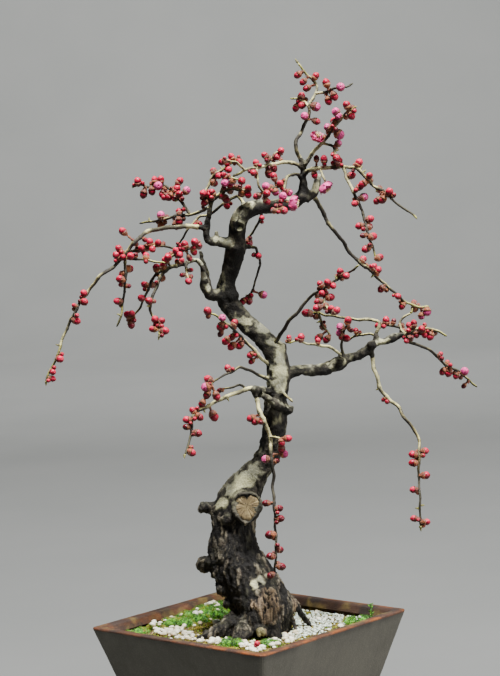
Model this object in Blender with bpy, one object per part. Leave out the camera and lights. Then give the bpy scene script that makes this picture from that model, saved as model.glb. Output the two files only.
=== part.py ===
"""Flowering apricot bonsai in a square stoneware pot.

Metres, +Z up. The origin is the centre of the pot's flat base. The display side of the
tree faces -Y. The tree was drawn on an upright board, 1 mm to 1 mm, as seen by an eye on
the display side: every route holds (across, down) in mm from the board's top left corner.
A route's depth is given as `back`, in mm from the pot's middle, away from the eye.
"""

import math
import random

import bmesh
import bpy
from mathutils import Matrix, Vector
from mathutils.bvhtree import BVHTree

MM = 0.001
GAP = 0.3  # clearance between pieces that touch
SHORT_EDGE = 0.35  # the Booleans leave edges shorter than this, which are closed up

# Pot
POT_HEIGHT = 130.0
POT_RIM_HALF = 112.6  # half of one side of the square, at the rim
POT_BASE_HALF = 74.2
POT_WALL = 10.4
POT_FLOOR = 11.0
POT_CORNER = 7.0
RIM_TOP_WIDTH = 14.5
RIM_DEPTH = 8.0
POT_TURN = math.radians(45 + 4)  # it stands on a corner towards the eye
DRAIN_RADIUS = 9.0
DRAIN_SPREAD = 38.0

# What fills the pot
SOIL_TOP = 116.0
GRAVEL_THICK = 3.2
PEBBLE_PITCH = 14.0
SCREEN_HALF = 13.0
SCREEN_THICK = 1.2

# The eye that the tree was drawn for, and the board
EYE_DISTANCE = 2200.0
EYE_DOWN = math.radians(5.6)
EYE_ROLL = math.radians(2.5)
BOARD_MIDDLE = (250.0, 338.0)
RIM_ON_BOARD = (249.5, 618.1)  # where the middle of the pot's rim lies on the board


def eye_axes():
    """The eye's position and its right, up and forward directions, in mm."""
    level = Vector((1, 0, 0))
    ahead = Vector((0, math.cos(EYE_DOWN), -math.sin(EYE_DOWN)))
    lift = Vector((0, math.sin(EYE_DOWN), math.cos(EYE_DOWN)))
    right = level * math.cos(EYE_ROLL) - lift * math.sin(EYE_ROLL)
    up = level * math.sin(EYE_ROLL) + lift * math.cos(EYE_ROLL)
    rim = Vector((0, 0, POT_HEIGHT))
    side = BOARD_MIDDLE[0] - RIM_ON_BOARD[0]
    rise = RIM_ON_BOARD[1] - BOARD_MIDDLE[1]
    return rim + right * side + up * rise - ahead * EYE_DISTANCE, right, up, ahead


EYE, RIGHT, UP, AHEAD = eye_axes()


def sight(across, down):
    """The direction of the sight line through a point of the board."""
    return (
        AHEAD * EYE_DISTANCE
        + RIGHT * (across - BOARD_MIDDLE[0])
        + UP * (BOARD_MIDDLE[1] - down)
    )


def at_depth(across, down, back):
    """The point of that sight line which lies `back` mm behind the pot's middle."""
    line = sight(across, down)
    return EYE + line * ((back - EYE.y) / line.y)


def on_level(across, down, height):
    """The point of that sight line at a given height."""
    line = sight(across, down)
    return EYE + line * ((height - EYE.z) / line.z)


def on_board(point):
    """Where a point in space lies on the board."""
    line = point - EYE
    far = line.dot(AHEAD) / EYE_DISTANCE
    return (
        BOARD_MIDDLE[0] + line.dot(RIGHT) / far,
        BOARD_MIDDLE[1] - line.dot(UP) / far,
    )


# Meshes and objects


def mesh_from(bm, name):
    bmesh.ops.recalc_face_normals(bm, faces=bm.faces)
    bmesh.ops.scale(bm, vec=(MM, MM, MM), verts=bm.verts)
    mesh = bpy.data.meshes.new(name)
    bm.to_mesh(mesh)
    bm.free()
    return mesh


def new_object(name, mesh, collection=None):
    thing = bpy.data.objects.new(name, mesh)
    (collection or bpy.context.scene.collection).objects.link(thing)
    return thing


def skin(rings, tip=None):
    """A closed body over a row of rings, capped at both ends or brought to a tip."""
    bm = bmesh.new()
    rows = [[bm.verts.new(point) for point in ring] for ring in rings]
    count = len(rows[0])
    for low, high in zip(rows, rows[1:]):
        for i in range(count):
            j = (i + 1) % count
            bm.faces.new((low[i], low[j], high[j]))
            bm.faces.new((low[i], high[j], high[i]))
    bm.faces.new(rows[0][::-1])
    if tip is None:
        bm.faces.new(rows[-1])
    else:
        end = bm.verts.new(tip)
        for i in range(count):
            bm.faces.new((rows[-1][i], rows[-1][(i + 1) % count], end))
    return bm


def lengths_along(points):
    """How far along the route each of its points lies."""
    run = [0.0]
    for a, b in zip(points, points[1:]):
        run.append(run[-1] + (b - a).length)
    return run


def along(points, run, s):
    """The point at length s of the route, and which stretch it lies on."""
    s = min(max(s, 0.0), run[-1])
    for i in range(len(points) - 1):
        if s <= run[i + 1]:
            part = (s - run[i]) / max(run[i + 1] - run[i], 1e-9)
            return points[i].lerp(points[i + 1], part), i, part
    return points[-1].copy(), len(points) - 2, 1.0


def nearest_on_stretch(point, start, end):
    """The point of a straight stretch that lies nearest."""
    stretch = end - start
    part = (point - start).dot(stretch) / max(stretch.length_squared, 1e-9)
    return start + stretch * min(max(part, 0.0), 1.0)


def rings_along(points, radii, sides, shape=None, extra=0.0):
    """Rings square to the route. A thick stem takes its direction from a longer stretch,
    so that rings never cross each other in a bend. Extra widens every ring evenly."""
    run = lengths_along(points)
    rings = []
    mark = None
    for i, centre in enumerate(points):
        reach = max(1.3 * radii[i], 1.0)
        before = along(points, run, run[i] - reach)[0]
        after = along(points, run, run[i] + reach)[0]
        heading = (after - before).normalized()
        if mark is None:
            mark = heading.orthogonal().normalized()
            if abs(heading.z) > 0.5:
                mark = Vector((1, 0, 0))
        mark = (mark - heading * mark.dot(heading)).normalized()
        other = heading.cross(mark)
        ring = []
        for k in range(sides):
            turn = 2 * math.pi * k / sides
            radius = radii[i] * (shape(turn, run[i]) if shape else 1.0) + extra
            ring.append(centre + (mark * math.cos(turn) + other * math.sin(turn)) * radius)
        rings.append(ring)
    return rings


def tube(points, radii, sides=4, shape=None, extra=0.0):
    rings = rings_along(points, radii, sides, shape, extra)
    if extra:
        ends = ((rings[0], points[1] - points[0]), (rings[-1], points[-2] - points[-1]))
        for ring, inward in ends:
            ring[:] = [point - inward.normalized() * extra for point in ring]
    return skin(rings)


def turned(centre, axis, outline, sides):
    """A body of rings round an axis: outline holds (distance along the axis, radius)."""
    axis = axis.normalized()
    points = [centre + axis * s for s, _ in outline]
    mark = axis.orthogonal().normalized()
    other = axis.cross(mark)
    rings = []
    for point, (_, radius) in zip(points, outline):
        rings.append(
            [
                point
                + mark * (radius * math.cos(2 * math.pi * k / sides))
                + other * (radius * math.sin(2 * math.pi * k / sides))
                for k in range(sides)
            ]
        )
    return rings


def collapse_short_edges(mesh, limit):
    """Merges the ends of edges shorter than the limit, one edge at a time, wherever the
    surface stays closed and no face turns over."""
    bm = bmesh.new()
    bm.from_mesh(mesh)
    bmesh.ops.triangulate(bm, faces=bm.faces)
    for _ in range(4):
        short = sorted(
            (edge for edge in bm.edges if edge.calc_length() < limit),
            key=lambda edge: edge.calc_length(),
        )
        changed = False
        for edge in short:
            if not edge.is_valid or edge.calc_length() >= limit:
                continue
            a, b = edge.verts
            around_a = {e.other_vert(a) for e in a.link_edges}
            around_b = {e.other_vert(b) for e in b.link_edges}
            if len(around_a & around_b) != 2:
                continue
            place = (a.co + b.co) / 2
            if turns_over(a, b, place) or turns_over(b, a, place):
                continue
            bmesh.ops.pointmerge(bm, verts=[a, b], merge_co=place)
            changed = True
        if not changed:
            break
    bmesh.ops.triangulate(bm, faces=bm.faces)
    if all(len(edge.link_faces) == 2 for edge in bm.edges):
        bm.to_mesh(mesh)
    bm.free()


def turns_over(vert, other, place):
    """Whether moving this point turns one of its faces over or flattens it."""
    for face in vert.link_faces:
        if other in face.verts:
            continue
        before = [v.co for v in face.verts]
        after = [place if v is vert else v.co for v in face.verts]
        old = (before[1] - before[0]).cross(before[2] - before[0])
        new = (after[1] - after[0]).cross(after[2] - after[0])
        if old.dot(new) < 0.3 * old.length * new.length or new.length < 1e-12:
            return True
    return False


def main_body_only(mesh):
    """Keeps the largest closed surface: a union's scraps and sealed hollows are dropped."""
    bm = bmesh.new()
    bm.from_mesh(mesh)
    bmesh.ops.triangulate(bm, faces=bm.faces)
    bm.verts.ensure_lookup_table()
    seen = set()
    islands = []
    for start in bm.verts:
        if start in seen:
            continue
        seen.add(start)
        island = [start]
        for vert in island:
            for edge in vert.link_edges:
                far = edge.other_vert(vert)
                if far not in seen:
                    seen.add(far)
                    island.append(far)
        islands.append(island)

    def volume(island):
        faces = {face for vert in island for face in vert.link_faces}
        total = 0.0
        for face in faces:
            a, b, c = (vert.co for vert in face.verts)
            total += a.dot(b.cross(c))
        return total

    islands.sort(key=volume)
    for island in islands[:-1]:
        bmesh.ops.delete(bm, geom=island, context="VERTS")
    bm.to_mesh(mesh)
    bm.free()


def combined(name, meshes, operation="UNION", solver="MANIFOLD"):
    """The first mesh joined with, or cut by, all the others, as one object."""
    body = new_object(name, meshes[0])
    if len(meshes) > 1:
        group = bpy.data.collections.new(name + "_pieces")
        bpy.context.scene.collection.children.link(group)
        for i, mesh in enumerate(meshes[1:]):
            piece = new_object(f"{name}_piece_{i}", mesh, group)
            piece.hide_render = True
            piece.display_type = "WIRE"
        step = body.modifiers.new("pieces", "BOOLEAN")
        step.operation = operation
        step.operand_type = "COLLECTION"
        step.collection = group
        step.solver = solver
        graph = bpy.context.evaluated_depsgraph_get()
        result = bpy.data.meshes.new_from_object(body.evaluated_get(graph))
        body.modifiers.clear()
        body.data = result
        for piece in list(group.objects):
            bpy.data.objects.remove(piece)
        bpy.data.collections.remove(group)
    main_body_only(body.data)
    if len(meshes) > 1:
        collapse_short_edges(body.data, SHORT_EDGE * MM)
    body.data.name = name
    return body


def paint(thing, colour, roughness=0.7):
    material = bpy.data.materials.new(thing.name + "_colour")
    material.use_nodes = True
    shader = material.node_tree.nodes["Principled BSDF"]
    shader.inputs["Base Color"].default_value = (*colour, 1.0)
    shader.inputs["Roughness"].default_value = roughness
    thing.data.materials.clear()
    thing.data.materials.append(material)


# The pot and its drain screens


def square_ring(half, height, corner, per_corner=4):
    """A square with rounded corners, turned as the pot stands."""
    ring = []
    for k in range(4):
        middle = (half - corner) * math.sqrt(2)
        towards = math.pi / 4 + k * math.pi / 2
        for step in range(per_corner):
            turn = k * math.pi / 2 + (math.pi / 2) * step / (per_corner - 1)
            x = middle * math.cos(towards) + corner * math.cos(turn)
            y = middle * math.sin(towards) + corner * math.sin(turn)
            ring.append(Vector((x, y, height)))
    spin = Matrix.Rotation(POT_TURN, 3, "Z")
    return [spin @ point for point in ring]


def outer_half(height):
    return POT_BASE_HALF + (POT_RIM_HALF - POT_BASE_HALF) * height / POT_HEIGHT


def inner_half(height):
    return outer_half(height) - POT_WALL


def turned_on_pot(x, y, height):
    return Matrix.Rotation(POT_TURN, 3, "Z") @ Vector((x, y, height))


def drain_places():
    return [
        (sx * DRAIN_SPREAD / 2, sy * DRAIN_SPREAD / 2) for sx in (-1, 1) for sy in (-1, 1)
    ]


def build_pot():
    opening = POT_RIM_HALF - RIM_TOP_WIDTH
    lip = POT_HEIGHT - RIM_DEPTH
    rings = [
        square_ring(POT_BASE_HALF - 1.5, 0.0, POT_CORNER - 1.5),
        square_ring(outer_half(1.5), 1.5, POT_CORNER),
        square_ring(outer_half(POT_HEIGHT - 2), POT_HEIGHT - 2, POT_CORNER),
        square_ring(POT_RIM_HALF - 1.8, POT_HEIGHT, POT_CORNER - 1.5),
        square_ring(opening + 1.5, POT_HEIGHT, POT_CORNER - 3),
        square_ring(opening, POT_HEIGHT - 1.5, POT_CORNER - 4),
        square_ring(opening + 0.4, lip, POT_CORNER - 4),
        square_ring(inner_half(lip - 1.5), lip - 1.5, POT_CORNER - 3),
        square_ring(inner_half(POT_FLOOR), POT_FLOOR, POT_CORNER - 3),
    ]
    shell = mesh_from(skin(rings), "pot_shell")
    cutters = [shell]
    for x, y in drain_places():
        centre = turned_on_pot(x, y, -5)
        hole = turned(centre, Vector((0, 0, 1)), [(0, DRAIN_RADIUS), (30, DRAIN_RADIUS)], 14)
        cutters.append(mesh_from(skin(hole), "drain_cutter"))
    pot = combined("pot", cutters, "DIFFERENCE")
    paint(pot, (0.09, 0.075, 0.062), 0.85)


def build_screens():
    """Squares of plastic mesh that keep the soil in over the drain holes."""
    low = POT_FLOOR + GAP
    for number, (x, y) in enumerate(drain_places(), 1):
        plate = []
        for height in (low, low + SCREEN_THICK):
            plate.append(
                [
                    turned_on_pot(x + sx * SCREEN_HALF, y + sy * SCREEN_HALF, height)
                    for sx, sy in ((-1, -1), (1, -1), (1, 1), (-1, 1))
                ]
            )
        meshes = [mesh_from(skin(plate), "screen_plate")]
        for i in (-1, 1):
            for j in (-1, 1):
                centre = turned_on_pot(x + i * 5.5, y + j * 5.5, low - 2)
                hole = turned(centre, Vector((0, 0, 1)), [(0, 4.5), (6, 4.5)], 4)
                meshes.append(mesh_from(skin(hole), "screen_cutter"))
        screen = combined(f"drain_screen_{number}", meshes, "DIFFERENCE")
        paint(screen, (0.02, 0.02, 0.022), 0.5)


# The wood

# (across, down, back, radius) from below the soil to the top of the tree
TRUNK = [
    (261, 690, -4, 15),
    (261, 668, -6, 21),
    (261, 648, -8, 26),
    (261.5, 630, -9, 28.5),
    (263.5, 611, -9, 30),
    (255.5, 592, -7, 27.5),
    (243.5, 575, -5, 27),
    (235, 559, -3, 25.5),
    (232.5, 544, -1, 23.5),
    (233.2, 530, 1, 22),
    (233.8, 516, 3, 22.5),
    (238, 503, 4, 22),
    (244.5, 490.5, 3, 18.6),
    (252.5, 478, 2, 14.6),
    (261.5, 466.5, 0, 12),
    (268.5, 455, -2, 11.4),
    (272.3, 443, -4, 11.6),
    (274.5, 428, -5, 11.6),
    (275, 410, -6, 11.5),
    (277, 390, -6, 11),
    (278, 372, -4, 11.5),
    (275.5, 356, -2, 11),
    (267, 343, 0, 9.8),
    (256.2, 332, 3, 9.2),
    (244.4, 321.5, 6, 9.3),
    (232, 308.5, 8, 9.8),
    (226, 294, 9, 10.2),
    (228, 279, 8, 8.5),
    (233.5, 260, 4, 9.2),
    (236.2, 247, 1, 9.8),
    (237.4, 234, -2, 8),
    (238.2, 224, -4, 8.6),
    (243, 214, -5, 8),
    (254, 208, -4, 7.5),
    (268, 207, -1, 7),
    (283, 205, 2, 6.5),
    (296, 201.5, 4, 6.5),
    (303, 192, 4, 5),
    (303, 178, 2, 3.4),
    (303.5, 165, 0, 2.8),
]

# Thick limbs: each starts inside the wood that it grows from
LIMBS = {
    "limb_left": [
        (237, 244, 0, 6.5),
        (225.7, 242.7, -4, 5.6),
        (216.8, 241.2, -7, 5),
        (208, 240, -9, 4.2),
        (206.5, 233.8, -10, 3.6),
        (207.5, 224, -11, 3),
        (209, 216, -12, 2.6),
    ],
    "limb_arch": [
        (226, 292, 8, 7),
        (212, 295, 0, 5.8),
        (204, 286.5, -5, 4.3),
        (203.8, 276, -8, 3),
        (202, 267, -11, 2.7),
        (197.5, 260.5, -13, 2.5),
        (191.5, 260.8, -15, 2.4),
        (185, 263.5, -17, 2.2),
        (177, 265.8, -19, 2),
    ],
    "limb_arch_twin": [
        (209, 290, -3, 3.6),
        (207.6, 276, 1, 2.6),
        (205, 266, 4, 2.3),
        (202, 259.5, 6, 2),
        (200.2, 251, 8, 1.6),
    ],
    "limb_right": [
        (277, 374, -4, 7),
        (290, 373, -3, 6.4),
        (299, 370, -1, 5.6),
        (312, 370.5, 2, 5.8),
        (325.7, 368.6, 5, 6),
        (339, 363.4, 8, 7.2),
        (347, 359.2, 10, 5.4),
        (357, 356.2, 11, 4.6),
        (366, 351.6, 12, 4.6),
        (371.6, 346.6, 13, 5),
        (377, 342.2, 14, 3.6),
        (384, 341.6, 15, 3.4),
        (390, 339, 16, 4.4),
        (394.5, 337.4, 17, 4.6),
    ],
    "limb_low": [
        (276, 396, -6, 5),
        (266.4, 391, -14, 3.8),
        (259.5, 389.4, -20, 3.2),
        (254, 388.6, -24, 2.9),
    ],
    "spur_front": [
        (262, 395, -22, 2.7),
        (270, 400, -22, 3.3),
        (279, 405.5, -19, 3.7),
        (286, 409, -14, 4.1),
        (290.5, 410.5, -9, 4.4),
    ],
    "stub_fork": [
        (277, 362, -3, 9),
        (279.5, 350, -3, 7.6),
        (281, 343, -3, 5.5),
    ],
    "stub_top": [
        (305, 199, 4, 5),
        (314, 193, 6, 4.2),
        (317, 182, 8, 3.8),
        (318.6, 174, 9, 3.2),
    ],
    "stub_low_left": [
        (225, 565, -4, 10),
        (205, 564, -8, 8.5),
        (198, 563.5, -9, 6),
    ],
    "stub_high_left": [
        (222, 509, 2, 8),
        (208, 508, 0, 6.8),
        (199.5, 506.5, -1, 5),
    ],
    "knob_right": [
        (280, 411, -6, 5),
        (288, 410.4, -7, 4.6),
        (293, 409.6, -7, 3),
    ],
    "spur_left": [
        (217, 241, -7, 2.6),
        (216.4, 235.5, -8, 2.2),
        (216, 231, -8, 1.5),
    ],
    "cut_stub": [
        (262, 390, -17, 2.2),
        (260, 394.6, -18, 2),
        (259, 398, -18, 1.6),
    ],
}

# Roots, the strands beside them and the ridges that run down into them
ROOTS = {
    "root_left": [(239, 616, -4, 10), (224, 628, -14, 7.5), (214, 635, -22, 6), (206, 644, -28, 4)],
    "root_front_left": [
        (248, 622, -24, 13),
        (244, 633, -38, 10),
        (238, 641, -48, 6.5),
        (233, 651, -54, 4),
    ],
    "root_front_right": [
        (268, 620, -26, 13),
        (272, 632, -40, 9.5),
        (277, 641, -48, 6),
        (281, 651, -53, 4),
    ],
    "root_back": [(257, 609, 16, 13), (251, 618, 36, 9.5), (243, 625, 52, 6), (239, 632, 60, 4)],
    "root_back_right": [(272, 609, 14, 12), (280, 617, 30, 8.5), (284, 624, 44, 5), (286, 632, 52, 4)],
    "root_strand": [
        (280, 600, -6, 9),
        (290.5, 603.5, -6, 7.3),
        (297, 609, -4, 3.9),
        (303, 616, -2, 2.8),
        (309.5, 624, 0, 2.4),
        (315, 634, 2, 2.2),
    ],
    "root_thin": [(288, 610, -12, 3.4), (293.5, 622, -17, 2.4), (296, 634, -21, 2), (297, 644, -24, 1.8)],
    "root_cut": [(260.5, 628, -26, 7), (260.5, 632.5, -50, 5.8)],
    "ridge_left": [(262, 584, -24, 5), (258, 602, -34, 6.5), (256, 618, -37, 6.5), (256, 632, -38, 5)],
    "ridge_right": [(268, 588, -24, 5), (272, 604, -34, 7), (269, 618, -37, 6.5), (268, 632, -38, 5)],
}

# lumps of scar wood: (across, down, back, radius)
BURLS = [
    (215, 545, -10, 7),
    (214, 562, -12, 10),
    (222, 588, -16, 9),
    (229, 520, -16, 8),
    (240, 600, -24, 9),
    (283, 405, -8, 6),
    (284, 380, -6, 7),
    (232, 296, 4, 8),
    (236, 248, -4, 7),
]

WOUND_CENTRE = (248.5, 507)
WOUND_RADIUS = 12.5


def fluted(turn, run):
    """The ridges of old wood: strong at the foot, faint towards the top."""
    depth = 0.085 if run < 150 else 0.05
    return (
        1.0
        + depth * math.sin(3 * turn + 0.021 * run)
        + 0.6 * depth * math.sin(5 * turn - 0.034 * run + 1.3)
    )


def in_space(route):
    return [at_depth(a, d, b) for a, d, b, _ in route], [r for *_, r in route]


def wood_meshes(extra=0.0):
    """Trunk, limbs and roots, each as a closed tube; extra widens them all."""
    meshes = []
    points, radii = in_space(TRUNK)
    meshes.append(mesh_from(tube(points, radii, 12, fluted, extra), "trunk"))
    for name, route in ROOTS.items():
        points, radii = in_space(route)
        meshes.append(mesh_from(tube(points, radii, 6, fluted, extra), name))
    if extra:
        return meshes
    for across, down, back, radius in BURLS:
        centre = at_depth(across, down, back)
        outline = [(-0.8 * radius, 0.6 * radius), (0, radius), (0.8 * radius, 0.6 * radius)]
        meshes.append(mesh_from(skin(turned(centre, UP, outline, 7)), "burl"))
    for name, route in LIMBS.items():
        points, radii = in_space(route)
        meshes.append(mesh_from(tube(points, radii, 6), name))
    centre = at_depth(*WOUND_CENTRE, -8)
    facing = (EYE - centre).normalized() + Vector((-0.12, 0, 0.08))
    lip = WOUND_RADIUS
    outline = [(0, lip + 1), (14, lip + 1.5), (18, lip - 0.5), (17.2, lip - 4.5), (15, 4)]
    meshes.append(mesh_from(skin(turned(centre, facing, outline, 11)), "wound"))
    return meshes


# Sprays: twigs with their buds and flowers


TWIG_GIRTH = 1.2  # the twigs' radii, as a share of those drawn with their routes


class Twig:
    """One twig: a hand-drawn route, the depth of its tip and its two end radii."""

    def __init__(self, route, back, thick=(1.5, 0.9), sway=3.0):
        self.route = route
        self.back = back
        self.thick = thick
        self.sway = sway
        self.points = None
        self.radii = None

    def place(self, hosts, draw):
        """Roots the twig on the nearest host axis and carries it to its own depth."""
        first = Vector(self.route[0])
        root, distance = None, 1e9
        for host in hosts:
            run = lengths_along(host)
            steps = max(2, int(run[-1] / 1.5))
            for i in range(steps + 1):
                point = along(host, run, run[-1] * i / steps)[0]
                away = (Vector(on_board(point)) - first).length
                if away < distance:
                    root, distance = point, away
        drawn = [Vector(on_board(root))] + [Vector(p) for p in self.route]
        drawn = [drawn[0]] + [p for p in drawn[1:] if (p - drawn[0]).length > 2.0]
        flat = [Vector((p.x, p.y, 0)) for p in drawn]
        run = lengths_along(flat)
        phase = draw.uniform(0, 2 * math.pi)
        waves = run[-1] / 45.0
        self.points = [root]
        for point, s in zip(drawn[1:], run[1:]):
            part = s / run[-1]
            bend = self.sway * math.sin(phase + waves * part * 2 * math.pi)
            bend -= self.sway * math.sin(phase)
            back = root.y + (self.back - root.y) * part + bend * min(1.0, s / 12)
            self.points.append(at_depth(point.x, point.y, back))
        run = lengths_along(self.points)
        thick, thin = self.thick
        self.radii = [TWIG_GIRTH * (thick + (thin - thick) * s / run[-1]) for s in run]


def cut_clear(twig, wood, host, clear):
    """How far along the twig its side first comes clear of the wood."""
    run = lengths_along(twig.points)
    axis, radii = host
    s, free_from = 0.0, None
    while s < run[-1] * 0.7:
        point, i, part = along(twig.points, run, s)
        radius = twig.radii[i] + (twig.radii[i + 1] - twig.radii[i]) * part
        depth = min(
            (nearest_on_stretch(point, axis[k], axis[k + 1]) - point).length
            - 1.1 * max(radii[k], radii[k + 1])
            for k in range(len(axis) - 1)
        )
        if depth > 0 and wood.find_nearest(point * MM)[3] / MM > radius + clear:
            free_from = s if free_from is None else free_from
            if s - free_from > 3.0:
                break
        else:
            free_from = None
        s += 0.5
    return (free_from or 0.5 * run[-1]) + 0.5


def split(twig, cut):
    """The twig before and after the cut, with the gap between them."""
    run = lengths_along(twig.points)
    before, after = cut - GAP / 2, cut + GAP / 2
    a, i, part = along(twig.points, run, before)
    b, j, _ = along(twig.points, run, after)
    radius = twig.radii[i] + (twig.radii[i + 1] - twig.radii[i]) * part
    heading = (twig.points[i + 1] - twig.points[i]).normalized()
    b = a + heading * GAP
    onward = [k for k in range(j + 1, len(run)) if run[k] > after + 1.0]
    stub = (twig.points[: i + 1] + [a], twig.radii[: i + 1] + [radius])
    rest = (
        [b] + [b + heading * 0.8] + [twig.points[k] for k in onward],
        [radius, radius] + [twig.radii[k] for k in onward],
    )
    return stub, rest, heading


def end_rings(points, radii, heading, at_start, sides=4):
    """Rings of a tube whose ring next to the cut lies square to the heading."""
    rings = rings_along(points, radii, sides)
    index = 0 if at_start else len(points) - 1
    mark = Vector((0.3, 0.2, 1.0))
    mark = (mark - heading * mark.dot(heading)).normalized()
    other = heading.cross(mark)
    turns = [2 * math.pi * k / sides for k in range(sides)]
    flat = [
        points[index] + (mark * math.cos(t) + other * math.sin(t)) * radii[index]
        for t in turns
    ]
    # the flat ring starts at the corner nearest to its neighbour's first corner
    near = rings[1 if at_start else index - 1][0]
    first = min(range(sides), key=lambda k: (flat[k] - near).length)
    rings[index] = flat[first:] + flat[:first]
    return rings


def bud_mesh(root, centre, radius, sides=4, stalk=0.8):
    """A swelling flower bud on its short stalk, rooted inside the twig."""
    axis = centre - root
    reach = axis.length
    outline = [(0.0, stalk), (reach - 0.1 * radius, radius)]
    if reach > 1.7 * radius:
        outline.insert(1, (reach - 1.05 * radius, 0.33 * radius))
    rings = turned(root, axis, outline, sides)
    tip = root + axis.normalized() * (reach + 0.9 * radius)
    return mesh_from(skin(rings, tip), "bud")


def shoot_mesh(root, centre, radius):
    """A narrow pointed leaf bud."""
    axis = centre - root
    reach = axis.length
    rings = turned(root, axis, [(0.0, 0.8), (reach, radius)], 3)
    tip = root + axis.normalized() * (reach + 2.2 * radius)
    return mesh_from(skin(rings, tip), "shoot")


def petal_mesh(heart, axis, side, size):
    """One cupped petal: a thin blade that leaves the heart and curves up."""
    across = axis.cross(side).normalized()
    course = [(0.0, 0.5, 0.0), (0.62, 0.9, 0.26), (0.92, 0.5, 0.95)]
    rings = []
    for out, wide, lift in course:
        middle = heart + side * (out * size) + axis * (lift * size)
        half = wide * size / 2
        normal = (axis * (1 - 0.5 * lift) - side * (0.2 + 0.6 * lift)).normalized()
        up = normal * 0.4
        rings.append(
            [middle - across * half - up, middle + across * half - up,
             middle + across * half + up, middle - across * half + up]
        )
    return mesh_from(skin(rings), "petal")


def flower_meshes(root, centre, size, draw):
    """An opening flower: a calyx cup, five petals in a ring and a low heart."""
    axis = (centre - root).normalized()
    reach = (centre - root).length
    outline = [(0.0, 1.0), (reach - 0.3 * size, 0.34 * size), (reach + 0.18 * size, 0.4 * size)]
    meshes = [mesh_from(skin(turned(root, axis, outline, 6)), "calyx")]
    start = draw.uniform(0, 1)
    mark = axis.orthogonal().normalized()
    for k in range(5):
        side = Matrix.Rotation(2 * math.pi * (k + start) / 5, 3, axis) @ mark
        heart = centre + axis * (0.05 * size * (k % 2)) - axis * (0.05 * size)
        meshes.append(petal_mesh(heart, axis, side, size))
    return meshes


def nearest_on(twigs, across, down):
    """The nearest point of the twigs' axes on the board, with its radius."""
    place = Vector((across, down))
    best = None
    for points, radii in twigs:
        run = lengths_along(points)
        steps = max(2, int(run[-1] / 1.0))
        for i in range(steps + 1):
            point, k, part = along(points, run, run[-1] * i / steps)
            away = (Vector(on_board(point)) - place).length
            if best is None or away < best[0]:
                radius = radii[k] + (radii[k + 1] - radii[k]) * part
                best = (away, point, radius)
    return best


WOOD_EXTRAS = []
SPRAYS = {}


def spray(name, host, twigs, buds=(), pink=(), flowers=(), leaves=(), dried=()):
    SPRAYS[name] = (host, twigs, buds, pink, flowers, leaves, dried)


def build_spray(name, wood, hosts):
    host, twigs, buds, pink, flowers, leaves, dried = SPRAYS[name]
    draw = random.Random(name)
    placed = []
    meshes = []
    for number, twig in enumerate(twigs):
        grown = [points for points, _ in placed] if number else [hosts[host][0]]
        twig.place(grown, draw)
        if number == 0:
            cut = cut_clear(twig, wood, hosts[host], 1.0)
            stub, rest, heading = split(twig, cut)
            WOOD_EXTRAS.append(mesh_from(skin(end_rings(*stub, heading, False)), "stub"))
            meshes.append(mesh_from(skin(end_rings(*rest, heading, True)), name))
            placed.append(rest)
        else:
            sides = 3 if twig.thick[0] < 1.35 else 4
            meshes.append(mesh_from(tube(twig.points, twig.radii, sides), "side_twig"))
            placed.append((twig.points, twig.radii))
    wanted = [(b, "bud", 3.5) for b in buds] + [(b, "bud", 4.0) for b in pink]
    wanted += [(b, "leaf", 1.4) for b in leaves] + [(b, "bud", 2.7) for b in dried]
    wanted += [(b, "flower", 7.0) for b in flowers]
    for place, kind, radius in wanted:
        radius = place[2] if len(place) > 2 else radius * draw.uniform(0.9, 1.1)
        away, root, thick = nearest_on(placed, place[0], place[1])
        size = radius if kind == "bud" else 0.5 * radius if kind == "flower" else 1.0
        stand = thick + 0.85 * size
        offset = math.sqrt(max(stand * stand - away * away, 0.0))
        offset += draw.uniform(0.0, 1.5)
        back = root.y + offset * draw.choice((-1, -1, 1))
        centre = at_depth(place[0], place[1], back)
        if kind == "bud":
            meshes.append(bud_mesh(root, centre, radius))
        elif kind == "leaf":
            meshes.append(shoot_mesh(root, centre, radius))
        else:
            meshes.extend(flower_meshes(root, centre, radius, draw))
    body = combined(name, meshes)
    paint(body, (0.35, 0.03, 0.06), 0.6)


spray(
    "spray_left_long",
    "limb_left",
    [
        Twig(
            [(207, 228), (190, 226.5), (165, 228), (147.5, 232), (136, 241), (124.3, 254.6),
             (115.4, 265), (107, 271.6), (99, 276.4), (94.4, 284), (88.6, 290.7), (83, 298.4),
             (78, 306), (73.3, 315.6), (68.5, 325), (64.7, 334), (61, 343), (58.5, 353),
             (55.6, 360.5), (51.3, 368), (46, 381)],
            back=-62, thick=(2.0, 0.9)),
        Twig([(126, 252.5), (137, 250.5), (152, 247), (161.8, 245.7), (171.6, 248.4),
              (176, 248.5)], back=-14, thick=(1.2, 0.8)),
        Twig([(126, 258), (145.7, 260), (156.4, 261.8), (165, 263)], back=-36,
             thick=(1.2, 0.8)),
        Twig([(125.4, 254), (125.4, 268.7), (125.4, 278), (124, 293.6), (122.6, 305),
              (120.2, 319.4), (116.8, 326.6)], back=-28, thick=(1.3, 0.8)),
    ],
    buds=[(83.8, 293), (84.3, 302), (74.3, 305.5, 2.2), (76.2, 320.8), (59.9, 359),
          (52.7, 372, 3), (52.3, 378.7, 3), (118.8, 248.6), (116.8, 255.8), (130.6, 256.3),
          (122.9, 257.3), (122.9, 231.4), (137.7, 249.3), (141.3, 248.4), (152.4, 249.2),
          (149.7, 242.1), (158.2, 243), (146, 256.5), (129.3, 268.8), (120.4, 279.3),
          (122.6, 274), (117.8, 301.2)],
    pink=[(146.6, 247.5)],
    leaves=[(58, 345), (118.8, 314.6), (46, 384)],
    dried=[(128.3, 286)],
)
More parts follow.
